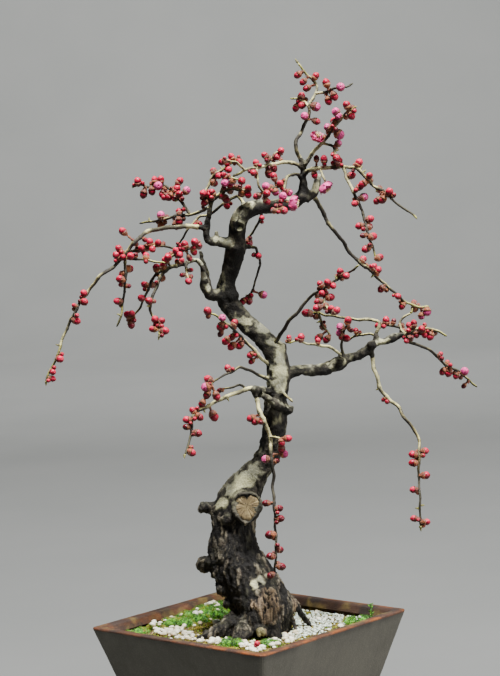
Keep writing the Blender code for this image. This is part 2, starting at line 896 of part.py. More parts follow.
spray(
    "spray_left_crown",
    "limb_left",
    [
        Twig([(210, 208), (211.8, 202), (215.4, 197.5), (221.6, 193), (228, 189.5),
              (234, 187)], back=-22, thick=(2.1, 1.2)),
        Twig([(211, 203.5), (205, 195), (209, 184), (214, 175), (222, 170), (232, 163),
              (238, 159)], back=-2, thick=(1.3, 0.9)),
        Twig([(207.3, 208), (198.4, 212.7), (190.4, 214.5), (174.3, 216.3), (163.6, 219.4),
              (148.4, 222), (139.5, 223.4)], back=22, thick=(1.5, 0.8)),
        Twig([(190, 214.6), (187.7, 211), (179.6, 200), (168, 187.7), (162.7, 185.4),
              (148.4, 186.8), (141.3, 185), (133.2, 186.8)], back=44, thick=(1.4, 0.8)),
        Twig([(221, 193), (224, 183), (230, 178), (241, 180)], back=-30, thick=(1.1, 0.8)),
        Twig([(230, 188.5), (240, 190), (247, 191)], back=-16, thick=(1.1, 0.8)),
    ],
    buds=[(213.6, 171.5), (231.5, 157), (239, 162), (228.4, 169.5), (223.9, 175.7),
          (218.6, 175.7), (214, 183), (241.8, 181), (203.4, 193.6), (212.3, 192.7),
          (204.7, 202.5), (225.7, 199), (230.2, 191), (241.8, 193.6), (248, 188.2),
          (248, 194.6), (137.7, 181.4), (143.5, 194.4), (154.6, 180), (160.9, 179.6),
          (152, 191.3), (162.2, 194), (164.9, 197), (169.4, 197), (179.6, 181.4),
          (176.5, 189), (179.2, 194.4), (179.2, 212), (161.3, 226.5), (179.2, 221.6),
          (176, 225.6)],
    pink=[(224.8, 183), (232.4, 182), (158.2, 186), (186.8, 190.4), (160.9, 215)],
    leaves=[(220.4, 166.8), (238.2, 186.4), (132.8, 187), (174.3, 202.4), (184, 181),
            (149.3, 219.8)],
    dried=[(167, 217)],
)
spray(
    "spray_left_hanging",
    "limb_arch",
    [
        Twig([(170.7, 267), (164.2, 271.6), (159.4, 280), (154.6, 291.7), (150.8, 302),
              (149.8, 309), (152.7, 315.6), (159.4, 326), (159.4, 335.7)],
             back=-46, thick=(1.7, 0.8)),
        Twig([(165, 269), (157.5, 272.5), (151.8, 281), (147.9, 289.7), (143, 301),
              (138.4, 310), (130.2, 319.4)], back=-14, thick=(1.4, 0.8)),
        Twig([(171, 267), (168, 262), (172, 256), (179, 253), (190, 248), (197, 243)],
             back=-28, thick=(1.1, 0.8)),
    ],
    buds=[(144.8, 284.6), (152.4, 285), (141.2, 298), (127.8, 315), (131.7, 313.7),
          (131.2, 324.7), (162, 278), (148.9, 301), (155, 319.4), (153.2, 329),
          (164.7, 331), (161.3, 321.3), (185, 244.8), (194.8, 242), (198.4, 245.7),
          (193.9, 252), (189.5, 258.2, 2.8), (176, 251), (179.6, 254.6), (168, 257.3),
          (165.4, 260), (181.4, 261, 2.8), (163.6, 265.4), (156.4, 268)],
    leaves=[(158, 341), (148.4, 306)],
)
spray(
    "spray_arch_hanging",
    "limb_arch",
    [Twig([(186, 263.5), (186.4, 270), (187.4, 276), (188.6, 280)], back=-30,
          thick=(1.0, 0.8), sway=1)],
    buds=[(188.6, 281.4), (182.3, 275, 2.4), (190.8, 270, 2.2)],
)
spray(
    "spray_cross",
    "trunk",
    [Twig([(239.5, 197), (233, 198.3), (222.5, 204), (215.4, 210.9), (206.4, 215.5),
           (199.3, 217), (193, 223.4), (188.6, 228.8), (185, 234), (179.6, 243), (176, 248.4)],
          back=34, thick=(1.5, 0.8))],
    buds=[(227, 206), (199.5, 224, 2.8), (181, 246, 3.0)],
)
spray(
    "spray_top_left",
    "trunk",
    [
        Twig([(303.3, 170), (297, 164.5), (289, 162.3), (275.7, 163.7), (261.4, 166.8),
              (245.4, 170), (238.2, 174), (232.9, 176.6)], back=-44, thick=(1.7, 0.9)),
        Twig([(257, 169.5), (257.4, 177.5), (258.8, 185.5), (264, 193.6)], back=-30,
             thick=(1.1, 0.8)),
        Twig([(243.6, 169), (237.3, 163.2), (231, 161.4), (226.6, 160)], back=-48,
             thick=(1.1, 0.8)),
        Twig([(265, 164), (270.4, 159.6), (274.8, 153.4), (280.2, 151.6)], back=-24,
             thick=(1.1, 0.8)),
    ],
    buds=[(256, 163.2), (265, 155.6), (276.6, 157), (281, 150.7), (273.9, 168.5),
          (253.8, 173), (268.6, 174), (257, 196.3), (222, 162)],
)
spray(
    "spray_top_down",
    "trunk",
    [
        Twig([(303, 180), (297, 174.5), (289, 175.7), (285.5, 182), (284.6, 188),
              (281, 196), (279, 205), (276, 211)], back=-52, thick=(1.5, 0.8)),
        Twig([(285, 186), (277, 187), (268, 190), (263, 197)], back=-46, thick=(1.1, 0.8)),
    ],
    buds=[(273.9, 176.6), (280.2, 183.8), (266.8, 193.6), (266.8, 201.5), (273.9, 210.5),
          (283.3, 210.5)],
    pink=[(265.9, 186.4), (275.7, 192.7), (282.9, 196.3), (289.5, 193)],
    flowers=[(294, 203.4, 6.2)],
    dried=[(281, 201.6)],
)
spray(
    "spray_behind_crown",
    "trunk",
    [Twig([(273, 203), (267, 204), (262.5, 211.4), (257.5, 224.8), (252, 233), (248, 238.2)],
          back=34, thick=(1.4, 0.9))],
    buds=[(262, 218, 2.6), (249, 243)],
)
spray(
    "spray_trunk_side",
    "trunk",
    [Twig([(247, 246.3), (252, 247), (256, 247.6), (257.2, 252.5), (260.5, 263.2),
           (258, 270.4), (256, 279.3), (252, 291), (248.6, 295.4)], back=24,
          thick=(1.4, 0.8))],
    buds=[(242.8, 301.6), (249, 300.7), (258.5, 256)],
    pink=[(263.6, 295, 4.2)],
)
spray(
    "spray_top_high",
    "trunk",
    [
        Twig([(303.5, 165), (300.2, 158), (296.8, 152.7), (295.9, 147.3), (296.8, 139.3), (301.3, 132),
              (304.8, 124), (309.3, 112.5), (309.3, 105.4), (312.9, 98.2), (317.3, 88.4),
              (312.9, 80.4), (306.6, 74), (301.3, 68), (297.7, 62.5)], back=24,
             thick=(1.8, 0.8)),
        Twig([(316, 93.8), (325.4, 92), (332.5, 89.3), (340.5, 87), (347.7, 86.6),
              (353, 83.5)], back=2, thick=(1.2, 0.8)),
        Twig([(309.3, 107), (303.9, 101.8), (296.8, 99), (290.5, 98.2)], back=36,
             thick=(1.1, 0.8)),
    ],
    buds=[(297.7, 75), (303, 82), (306.6, 88.4), (315.5, 76.3), (326.3, 83), (328.5, 101),
          (334.3, 96.4), (301.3, 96.4), (302, 105.4), (295.9, 108), (316.4, 121.4)],
    pink=[(340.5, 87), (316.4, 107, 4.8), (304.4, 116)],
    leaves=[(330.7, 94.5), (296, 60)],
)
spray(
    "spray_top_right",
    "trunk",
    [
        Twig([(305.7, 163.4), (312, 154.5), (316.4, 148.2), (323.6, 142), (328, 135.7),
              (332.5, 129.5), (339.6, 120.5), (346.8, 112.5), (356.6, 106.3)], back=-42,
             thick=(1.8, 0.8)),
        Twig([(323.6, 144), (330.7, 145.5), (334.3, 148.2), (336, 156.3)], back=-30,
             thick=(1.2, 0.9)),
    ],
    buds=[(346.8, 105.4), (351.3, 115.6), (334.3, 121.4), (336.5, 158.3)],
    pink=[(335.6, 111.6), (338.3, 116), (327, 126.8), (339.6, 134.8, 5.2), (338.8, 143)],
    flowers=[(317, 136.6, 5.6)],
    leaves=[(342.8, 149)],
)
spray(
    "spray_right_high",
    "trunk",
    [
        Twig([(303.3, 175), (309, 170.5), (316, 168.5), (327, 168), (334.3, 167), (346.8, 167), (355, 168),
              (359.3, 170.5), (367.3, 178.6), (372.7, 185.7), (382.5, 190.2), (390.5, 197.3),
              (398.6, 205.4), (409.3, 211.6), (416.9, 218.8)], back=-72, thick=(1.8, 0.8)),
        Twig([(343.7, 168.5), (348.6, 182), (355.7, 196.4), (359.3, 205.4), (363, 212.5),
              (364.6, 221.4), (367.3, 230.4), (369, 239.3), (373.6, 248.2), (375.8, 259.8)],
             back=-50, thick=(1.4, 0.8)),
        Twig([(320, 168), (323, 176), (325.5, 182)], back=-24, thick=(1.1, 0.9)),
    ],
    buds=[(324, 159.3), (338.8, 161.2), (335.2, 167), (358.8, 163), (351.5, 175.4),
          (369.3, 176), (362.9, 184), (359.7, 187), (379.4, 189.3), (389.2, 192),
          (382.5, 200), (377, 201), (314.5, 175), (354.8, 203.6), (370, 219),
          (359.3, 226), (369, 226.8), (372.7, 236.6), (366, 249), (379.4, 257.6)],
    pink=[(364.2, 197)],
    flowers=[(325.7, 188, 6.0)],
    leaves=[(366.4, 160.3), (364.6, 171), (374.5, 195)],
    dried=[(316.4, 158.5), (363, 235.7)],
)
spray(
    "spray_right_long",
    "trunk",
    [Twig([(306, 191.8), (315, 199), (321, 208), (325.4, 218), (333.4, 230.4), (342.3, 240.2),
           (347.4, 249.5), (359.4, 262.5), (368.6, 268.8), (380.2, 280.4), (395.4, 293),
           (402.5, 300), (409.8, 304), (418.2, 307), (428.9, 306.5)], back=46,
          thick=(2.0, 0.9))],
    buds=[(362.9, 259.6), (366.3, 266), (373.5, 267.2), (378, 270.1), (381.3, 289),
          (402, 306.3), (398, 296.4), (413.8, 303.4)],
    pink=[(414.6, 308.8), (427, 312.3), (421.3, 316.8)],
    leaves=[(370.9, 277.7)],
)
spray(
    "spray_middle_up",
    "trunk",
    [
        Twig([(266, 353), (277, 340), (289.6, 320.4), (299.5, 310.5), (308.8, 298.2),
              (319.5, 291), (327.5, 285.7), (333.8, 281.3), (343.6, 275.4), (350.7, 271.4),
              (358.8, 265.2)], back=-58, thick=(1.9, 0.9)),
        Twig([(318, 293), (323.9, 296.4), (325.3, 305.4), (332, 314.3)], back=-66,
             thick=(1.2, 0.8)),
    ],
    buds=[(340.4, 272), (346.3, 276), (320.4, 284.4), (327.5, 282.6), (333, 285.7),
          (322, 293.8), (330.2, 297.3), (318, 301.8), (317.2, 308), (325.7, 306.3),
          (331, 309), (336.4, 310.7)],
    leaves=[(334.6, 275)],
)
spray(
    "spray_middle_back",
    "limb_right",
    [
        Twig([(376, 334), (379.3, 322.3), (366.8, 319.6), (357.9, 319.6), (347, 318.3),
              (334.6, 316), (325.7, 315.6), (319.5, 312.5), (312.3, 313.4)], back=42,
             thick=(1.6, 0.9)),
        Twig([(318.5, 314), (320.8, 319.6), (323, 326.8), (330.2, 334.8)], back=34,
             thick=(1.1, 0.8)),
    ],
    buds=[(306.5, 313, 4.2), (316.3, 316.5), (323, 326.8), (318.6, 338), (326.6, 339.7)],
    leaves=[(315.4, 323)],
)
spray(
    "spray_middle_short",
    "limb_right",
    [Twig([(342.7, 353), (341.8, 343), (344.5, 330.4), (347, 324)], back=-14,
          thick=(1.4, 0.8))],
    buds=[(348, 320.5), (346.3, 338.4)],
    pink=[(340, 326.8), (339, 333)],
    dried=[(350.7, 330)],
)
spray(
    "spray_middle_low",
    "limb_right",
    [Twig([(339, 353), (329.3, 347.3), (320.4, 345.5), (306, 343.3), (297, 340.8),
           (287.9, 342.7)], back=-34, thick=(1.4, 0.8))],
    buds=[(301, 337.5), (289, 338, 2.6), (318, 341, 2.8)],
)
spray(
    "spray_right_back",
    "limb_right",
    [Twig([(373.9, 335), (361.4, 334.8), (352.5, 337.5), (349, 340.2)], back=54,
          thick=(1.3, 0.8))],
    buds=[(356, 331, 2.8)],
)
spray(
    "spray_right_end",
    "limb_right",
    [
        Twig([(399, 336), (406, 334), (414, 330.5), (427, 328.4), (434.3, 330.6),
              (440.5, 332.4), (446.8, 336)], back=10, thick=(1.8, 0.9)),
        Twig([(404, 333.5), (400.5, 328.5), (400, 322), (404.8, 316.8), (411, 313)], back=30,
             thick=(1.3, 0.8)),
        Twig([(400, 327), (392, 326), (382.5, 324.5)], back=20, thick=(1.1, 0.8)),
        Twig([(405, 335), (409, 342), (418, 345), (423.6, 347), (434.3, 353.4), (441.4, 361.4),
              (450.4, 367.7), (459.3, 372), (465.5, 377.5), (477, 387)], back=62,
             thick=(1.5, 0.8)),
    ],
    buds=[(378.5, 325.7), (386, 320.5), (409.3, 325.7), (413.8, 323.6), (416.4, 334.6),
          (421.8, 329.3), (424.5, 334.3), (410.2, 338.4), (406.6, 341, 2.8), (430.3, 336.4),
          (440.5, 354.3, 2.4), (447.2, 362.3, 2.4), (442.8, 371.7), (448.6, 373),
          (456, 376, 3.0)],
    pink=[(401.3, 326), (403, 331.5), (464.6, 371.3)],
    leaves=[(412, 310)],
    dried=[(393.7, 321.5), (463.8, 386)],
)
spray(
    "spray_right_hanging",
    "limb_right",
    [
        Twig([(371.4, 353.5), (373.6, 366.8), (377, 376.6), (379.8, 387.3), (382.5, 392.7),
              (389.8, 400), (397.9, 406.5), (404.6, 418), (415, 431), (419.2, 442),
              (419.2, 453.6), (418.8, 467), (418.8, 480.4), (420, 498.2), (420, 516),
              (420.5, 526)], back=-50, thick=(1.8, 0.8)),
    ],
    buds=[(425, 451), (413, 454.5), (413, 463), (425.5, 475.4), (413.5, 489.7),
          (414, 518.6), (426.5, 522), (383.6, 399.6, 2.2)],
    leaves=[(371.5, 392.5), (426, 505), (415, 508), (421, 531)],
)
spray(
    "spray_low_inner",
    "trunk",
    [Twig([(272, 366), (264.6, 361.5), (259.3, 356), (252, 348), (245, 341), (239.6, 335.5),
           (232.5, 328.4), (225.4, 323), (216.4, 316), (209.3, 313.2)], back=-50,
          thick=(1.7, 0.8))],
    buds=[(207.5, 311), (220.4, 326.5), (234.3, 323), (231.6, 337.4), (231.6, 346.4),
          (226, 341), (239.6, 345.5), (250.4, 355), (251.4, 361.5, 2.8)],
    pink=[(222.5, 317.5)],
    dried=[(220.4, 334)],
)
spray(
    "spray_low_middle",
    "trunk",
    [Twig([(270, 380), (258, 374.5), (247.5, 369.5), (239.6, 367.5), (232.5, 371.3),
           (223.6, 375.7), (213.8, 381), (212, 385.5)], back=-66, thick=(1.6, 0.8))],
    buds=[(208.4, 379.3), (207, 395), (216.4, 396.3), (202, 403.8), (228, 368.5)],
    pink=[(205.7, 387.2, 4.6)],
)
spray(
    "spray_low_left",
    "limb_low",
    [
        Twig([(250, 388.4), (245.5, 390), (237, 392.7), (228, 396.3), (219, 399.8),
              (210.2, 405.2), (203.9, 408), (197.7, 411.5), (192.3, 417.4), (191.8, 430.5),
              (189.6, 438.6), (187.9, 447.5), (184.7, 454.6)], back=-80, thick=(2.0, 0.8)),
        Twig([(244, 387), (239.6, 385), (232.5, 387), (223.6, 389)], back=-24,
             thick=(1.1, 0.8)),
    ],
    buds=[(187, 419.8), (192.8, 410.6), (199.5, 417), (197.7, 433.2), (191.6, 452.6),
          (213.8, 416.3, 4.4)],
    leaves=[(184.4, 456.5), (206.6, 415.4), (229, 401.5)],
    dried=[(219.6, 390.5), (186.2, 427)],
)
spray(
    "spray_trunk_front",
    "limb_low",
    [
        Twig([(255.5, 393), (257.5, 403), (260.2, 412.7), (264.6, 422.5), (268.2, 430.5),
              (270, 437.7), (270.9, 446), (271.3, 460), (273.7, 474), (272.7, 486),
              (273.7, 497), (274.7, 511.4), (275.2, 526.7), (276.2, 542), (275.7, 557.3),
              (274.7, 572.7)], back=-62, thick=(1.9, 0.8)),
        Twig([(270.9, 436), (276.3, 437.7), (280.8, 438.6)], back=-46, thick=(1.1, 0.8)),
    ],
    buds=[(250.8, 418.4), (255.5, 421.8), (281.7, 443), (287.9, 438.5), (281.6, 449),
          (266, 503.2), (279.3, 508.4), (280.3, 518.6), (270.1, 535, 4.2), (279.8, 549.7),
          (270.5, 556.3), (281.3, 566.6), (270.6, 575.6)],
    pink=[(284.5, 454), (265.4, 459.2)],
    dried=[(277, 461)],
)
spray(
    "spray_trunk_light",
    "trunk",
    [Twig([(279, 388), (284, 393.5), (288.5, 398), (292.5, 402)], back=-30,
          thick=(1.4, 0.9), sway=1)],
)


def build_tree():
    bare = combined("wood", wood_meshes())
    graph = bpy.context.evaluated_depsgraph_get()
    wood = BVHTree.FromObject(bare, graph)
    hosts = {name: in_space(route) for name, route in LIMBS.items()}
    hosts["trunk"] = in_space(TRUNK)
    for name in SPRAYS:
        build_spray(name, wood, hosts)
    bare_mesh = bare.data
    bpy.data.objects.remove(bare)
    whole = combined("wood", [bare_mesh] + WOOD_EXTRAS)
    paint(whole, (0.05, 0.038, 0.03), 0.9)


# Soil, gravel and moss

# each cushion: its middle on the soil as it lies in space (x, y), its half width and how
# far it stands above the gravel
MOSS = {
    "moss_left": [
        (-96, 24, 10, 4),
        (-80, 40, 11, 5),
        (-64, 56, 12.5, 7),
        (-48, 72, 13.5, 8),
        (-33, 88, 13.5, 9),
        (-19, 104, 12, 7),
        (-18, 84, 13, 8),
        (-34, 64, 13, 8),
        (-52, 48, 12, 6),
        (-66, 34, 10, 5),
    ],
    "moss_corner": [(-121, -4, 8, 3), (-110, 8, 8.5, 3.5)],
    "moss_front": [(-22, -59, 7.5, 5), (-12, -62, 6.5, 4)],
    "moss_front_right": [(17, -69, 6.5, 4), (25, -66, 5.5, 3)],
    "moss_right": [(101, 6, 8, 6), (112, 6, 8, 6), (122, 7, 6.5, 5)],
}
SPRIG = [(121, 6, 119, 1.0), (122, 7, 127, 0.9), (122.5, 7, 133, 0.8), (121.5, 6.5, 138, 0.7)]
FALLEN_BUD = (256.7, 645.0)


def sprig_meshes(draw):
    """A seedling: a thin stem with narrow leaves in turn up its sides."""
    points = [Vector(p[:3]) for p in SPRIG]
    meshes = [mesh_from(tube(points, [p[3] for p in SPRIG], 4), "stem")]
    run = lengths_along(points)
    for k in range(6):
        root = along(points, run, run[-1] * (0.4 + 0.1 * k))[0]
        turn = k * 2.4 + draw.uniform(-0.2, 0.2)
        out = Vector((math.cos(turn), math.sin(turn), 0.9))
        meshes.append(shoot_mesh(root, root + out.normalized() * 2.4, 1.0))
    return meshes


def build_moss():
    """Each cushion is a heap of small domes that share a flat foot on the soil."""
    draw = random.Random(11)
    low = SOIL_TOP + GAP
    for name, spots in MOSS.items():
        meshes = []
        for x, y, wide, tall in spots:
            foot = Vector((x, y, low))
            height = GRAVEL_THICK + tall
            outline = [(0, wide), (height * 0.55, wide * 0.92), (height * 0.85, wide * 0.62)]
            rings = turned(foot, Vector((0, 0, 1)), outline, 8)
            top = foot + Vector((0, 0, height))
            meshes.append(mesh_from(skin(rings, top), "dome"))
            lumps = int(1 + wide / 4)
            for k in range(lumps):
                turn = 2 * math.pi * (k + draw.uniform(-0.3, 0.3)) / lumps
                out = wide * draw.uniform(0.35, 0.62)
                size = draw.uniform(0.2, 0.3) * wide
                at = foot + Vector((out * math.cos(turn), out * math.sin(turn), 1.5))
                rise = height * (1.02 - 0.5 * out / wide) - 1.5
                outline = [(0, size), (rise * 0.7, size * 0.9)]
                rings = turned(at, Vector((0, 0, 1)), outline, 5)
                tip = at + Vector((0, 0, rise + size * 0.7))
                meshes.append(mesh_from(skin(rings, tip), "lump"))
        if name == "moss_right":
            meshes += sprig_meshes(draw)
        heap = combined(name, meshes)
        heap_mesh = heap.data
        bpy.data.objects.remove(heap)
        moss = combined(name, [heap_mesh] + wood_meshes(GAP * 1.2), "DIFFERENCE")
        paint(moss, (0.09, 0.2, 0.03), 0.95)


def moss_cutters():
    """Plain holes through the gravel where the moss stands on the soil."""
    cutters = []
    for spots in MOSS.values():
        for x, y, wide, _ in spots:
            foot = Vector((x, y, SOIL_TOP - 5))
            half = wide + GAP / math.cos(math.pi / 8)
            rings = turned(foot, Vector((0, 0, 1)), [(0, half), (40, half)], 8)
            cutters.append(mesh_from(skin(rings), "moss_cutter"))
    return cutters


def build_soil():
    low = POT_FLOOR + GAP
    rings = []
    for height in (low, SOIL_TOP):
        rings.append(square_ring(inner_half(height) - GAP * 1.05, height, POT_CORNER - 3))
    meshes = [mesh_from(skin(rings), "soil_block")]
    meshes += wood_meshes(GAP * 1.2)
    for x, y in drain_places():
        half = SCREEN_HALF + GAP
        pocket = []
        for height in (0.0, low + SCREEN_THICK + GAP):
            pocket.append(
                [
                    turned_on_pot(x + sx * half, y + sy * half, height)
                    for sx, sy in ((-1, -1), (1, -1), (1, 1), (-1, 1))
                ]
            )
        meshes.append(mesh_from(skin(pocket), "screen_pocket"))
    soil = combined("soil", meshes, "DIFFERENCE")
    paint(soil, (0.05, 0.03, 0.02), 0.95)


def pebble_field(half, low, high, draw):
    """A block whose top is a field of pebbles, each a low stone with a short ridge."""
    count = round(2 * half / PEBBLE_PITCH)
    pitch = 2 * half / count
    bm = bmesh.new()
    foot, valley = {}, {}
    for i in range(count + 1):
        for j in range(count + 1):
            x = -half + i * pitch
            y = -half + j * pitch
            foot[i, j] = bm.verts.new(turned_on_pot(x, y, low))
            x += draw.uniform(-0.2, 0.2) * pitch
            y += draw.uniform(-0.2, 0.2) * pitch
            valley[i, j] = bm.verts.new(turned_on_pot(x, y, high + draw.uniform(-0.7, 0.3)))
    for i in range(count):
        for j in range(count):
            ring = [(i, j), (i + 1, j), (i + 1, j + 1), (i, j + 1)]
            bm.faces.new([foot[k] for k in ring])
            around = [valley[k] for k in ring]
            if draw.random() < 0.5:
                around = around[1:] + around[:1]
            a, b, c, d = around
            ridge = []
            for one, two in ((a, b), (c, d)):
                edge = (one.co + two.co) / 2
                middle = (a.co + b.co + c.co + d.co) / 4
                point = edge.lerp(middle, draw.uniform(0.45, 0.7))
                point.z = high + draw.uniform(2.2, 4.6)
                ridge.append(bm.verts.new(point))
            e, f = ridge
            bm.faces.new((a, b, e))
            bm.faces.new((b, c, f))
            bm.faces.new((b, f, e))
            bm.faces.new((c, d, f))
            bm.faces.new((d, a, e))
            bm.faces.new((d, e, f))
    for k in range(count):
        sides = (
            ((k, 0), (k + 1, 0)),
            ((k, count), (k + 1, count)),
            ((0, k), (0, k + 1)),
            ((count, k), (count, k + 1)),
        )
        for a, b in sides:
            bm.faces.new((foot[a], foot[b], valley[b], valley[a]))
    return mesh_from(bm, "pebble_field")


def build_gravel():
    """The top dressing: one bed of pebbles that lies on the soil and fills the pot's mouth."""
    draw = random.Random(23)
    low = SOIL_TOP + GAP
    high = low + GRAVEL_THICK
    rings = []
    for height in (low, high + 8):
        rings.append(square_ring(inner_half(low) - GAP * 1.05, height, POT_CORNER - 3))
    limits = mesh_from(skin(rings), "bed_limits")
    field = pebble_field(inner_half(high) + 4, low - 4, high, draw)
    bed = combined("gravel", [limits, field], "INTERSECT")
    bed_mesh = bed.data
    bpy.data.objects.remove(bed)
    gravel = combined(
        "gravel",
        [bed_mesh, fallen_bud_mesh(GAP)] + wood_meshes(GAP * 1.2) + moss_cutters(),
        "DIFFERENCE",
    )
    paint(gravel, (0.62, 0.58, 0.5), 0.8)


def fallen_bud_mesh(extra=0.0):
    foot = on_level(*FALLEN_BUD, SOIL_TOP + GRAVEL_THICK + 3)
    outline = [(-2.2 - extra, 2.0), (0.3, 3.5), (2.6, 2.6)]
    outline = [(s, radius + extra * 1.3) for s, radius in outline]
    rings = turned(foot, Vector((0.5, -0.3, 1)), outline, 6)
    tip = foot + Vector((0.5, -0.3, 1)).normalized() * (4.2 + extra)
    return mesh_from(skin(rings, tip), "fallen_bud")


def build_fallen_bud():
    bud = combined("fallen_bud", [fallen_bud_mesh()])
    paint(bud, (0.4, 0.02, 0.05), 0.5)


for leftover in list(bpy.data.objects):
    bpy.data.objects.remove(leftover)
build_pot()
build_screens()
build_tree()
build_soil()
build_gravel()
build_moss()
build_fallen_bud()
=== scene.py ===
"""How the flowering apricot bonsai looks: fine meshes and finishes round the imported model.

Sizes and routes are in mm, as in the part's own source, and meshes are scaled to metres
when they are made. A route drawn on the upright board holds (across, down, back, radius):
1 mm on the board is 1 mm on the tree, and `back` is the depth behind the pot's middle.
"""

import math
import random

import bmesh
import bpy
import numpy as np
from mathutils import Matrix, Vector, noise
from mathutils.bvhtree import BVHTree
from mathutils.kdtree import KDTree


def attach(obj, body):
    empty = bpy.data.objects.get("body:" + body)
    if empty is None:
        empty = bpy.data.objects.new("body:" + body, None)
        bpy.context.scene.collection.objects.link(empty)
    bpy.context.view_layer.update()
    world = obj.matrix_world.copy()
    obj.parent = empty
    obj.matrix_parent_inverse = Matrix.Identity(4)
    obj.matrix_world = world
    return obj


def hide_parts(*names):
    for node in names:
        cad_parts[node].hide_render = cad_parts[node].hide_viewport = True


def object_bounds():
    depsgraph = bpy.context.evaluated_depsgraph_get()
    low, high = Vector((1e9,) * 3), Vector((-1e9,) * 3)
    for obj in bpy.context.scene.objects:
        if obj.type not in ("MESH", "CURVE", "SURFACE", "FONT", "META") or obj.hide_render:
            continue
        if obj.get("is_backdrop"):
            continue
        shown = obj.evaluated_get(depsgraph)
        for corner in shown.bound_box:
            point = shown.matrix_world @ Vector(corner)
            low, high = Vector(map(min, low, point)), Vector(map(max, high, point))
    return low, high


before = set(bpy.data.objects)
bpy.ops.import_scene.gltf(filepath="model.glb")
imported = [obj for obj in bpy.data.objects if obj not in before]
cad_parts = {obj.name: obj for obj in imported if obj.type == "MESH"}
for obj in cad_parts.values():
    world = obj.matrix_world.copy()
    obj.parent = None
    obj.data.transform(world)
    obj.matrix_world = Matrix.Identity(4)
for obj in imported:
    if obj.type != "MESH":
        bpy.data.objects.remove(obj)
CAD_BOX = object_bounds()

MM = 0.001

# Pot and what fills it
POT_HEIGHT = 130.0
POT_RIM_HALF = 112.6
POT_BASE_HALF = 74.2
POT_WALL = 10.4
POT_FLOOR = 11.0
RIM_TOP_WIDTH = 14.5
RIM_DEPTH = 8.0
POT_TURN = math.radians(45 + 4)
DRAIN_RADIUS = 9.0
DRAIN_SPREAD = 38.0
CORNER_ROUND = 5.5
RIM_ROUND = 2.0
FOOT_ROUND = 1.5
SOIL_TOP = 116.0
GRAVEL_THICK = 3.2

# The eye that the tree was drawn for, and the board
EYE_DISTANCE = 2200.0
FRAME_TALL = 676  # the frame's long side, in the board's mm
SENSOR_WIDE = 36.0
EYE_DOWN = math.radians(5.6)
EYE_ROLL = math.radians(2.5)
BOARD_MIDDLE = (250.0, 338.0)
RIM_ON_BOARD = (249.5, 618.1)  # where the middle of the pot's rim lies on the board


def eye_axes():
    """The eye's position and its right, up and forward directions, in mm."""
    level = Vector((1, 0, 0))
    ahead = Vector((0, math.cos(EYE_DOWN), -math.sin(EYE_DOWN)))
    lift = Vector((0, math.sin(EYE_DOWN), math.cos(EYE_DOWN)))
    right = level * math.cos(EYE_ROLL) - lift * math.sin(EYE_ROLL)
    up = level * math.sin(EYE_ROLL) + lift * math.cos(EYE_ROLL)
    rim = Vector((0, 0, POT_HEIGHT))
    side = BOARD_MIDDLE[0] - RIM_ON_BOARD[0]
    rise = RIM_ON_BOARD[1] - BOARD_MIDDLE[1]
    return rim + right * side + up * rise - ahead * EYE_DISTANCE, right, up, ahead


EYE, RIGHT, UP, AHEAD = eye_axes()


def sight(across, down):
    """The direction of the sight line through a point of the board."""
    ahead = AHEAD * EYE_DISTANCE
    return ahead + RIGHT * (across - BOARD_MIDDLE[0]) + UP * (BOARD_MIDDLE[1] - down)


def at_depth(across, down, back):
    """The point of that sight line which lies `back` mm behind the pot's middle."""
    line = sight(across, down)
    return EYE + line * ((back - EYE.y) / line.y)


def on_level(across, down, height):
    """The point of that sight line at a given height."""
    line = sight(across, down)
    return EYE + line * ((height - EYE.z) / line.z)


def on_board(point):
    """Where a point in space lies on the board."""
    line = point - EYE
    far = line.dot(AHEAD) / EYE_DISTANCE
    return (BOARD_MIDDLE[0] + line.dot(RIGHT) / far, BOARD_MIDDLE[1] - line.dot(UP) / far)


# Routes


def lengths_along(points):
    """How far along the route each of its points lies."""
    run = [0.0]
    for a, b in zip(points, points[1:]):
        run.append(run[-1] + (b - a).length)
    return run


def along(points, run, s):
    """The point at length s of the route, and which stretch it lies on."""
    s = min(max(s, 0.0), run[-1])
    for i in range(len(points) - 1):
        if s <= run[i + 1]:
            part = (s - run[i]) / max(run[i + 1] - run[i], 1e-9)
            return points[i].lerp(points[i + 1], part), i, part
    return points[-1].copy(), len(points) - 2, 1.0


# Meshes


def take_mesh(bm, name, smooth=True):
    """Ends a bmesh in mm as a mesh in metres with its faces outwards."""
    bmesh.ops.recalc_face_normals(bm, faces=bm.faces)
    bmesh.ops.scale(bm, vec=(MM, MM, MM), verts=bm.verts)
    for face in bm.faces:
        face.smooth = smooth
    mesh = bpy.data.meshes.new(name)
    bm.to_mesh(mesh)
    bm.free()
    return mesh


def in_scene(name, data):
    thing = bpy.data.objects.new(name, data)
    bpy.context.scene.collection.objects.link(thing)
    return thing


def dress(mesh, material):
    mesh.materials.clear()
    mesh.materials.append(material)


def place_piece(name, mesh, slot, material):
    """A finished piece that rides on the one body."""
    thing = in_scene(name, mesh)
    dress(mesh, material)
    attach(thing, "root")
    return thing


def applied(mesh, kind, **settings):
    """The mesh as a modifier leaves it."""
    thing = in_scene("working", mesh)
    modifier = thing.modifiers.new(kind, kind)
    for key, value in settings.items():
        setattr(modifier, key, value)
    graph = bpy.context.evaluated_depsgraph_get()
    result = bpy.data.meshes.new_from_object(thing.evaluated_get(graph))
    bpy.data.objects.remove(thing)
    return result


def eased(bm, edges, offset, segments):
    """Rounds the edges over."""
    bmesh.ops.bevel(
        bm,
        geom=edges,
        offset=offset,
        affect="EDGES",
        segments=segments,
        profile=0.5,
        material=-1,
    )


def joined(meshes, name):
    bm = bmesh.new()
    for mesh in meshes:
        bm.from_mesh(mesh)
    whole = bpy.data.meshes.new(name)
    bm.to_mesh(whole)
    bm.free()
    return whole


BATCH = 60  # how many copies are gathered at a time


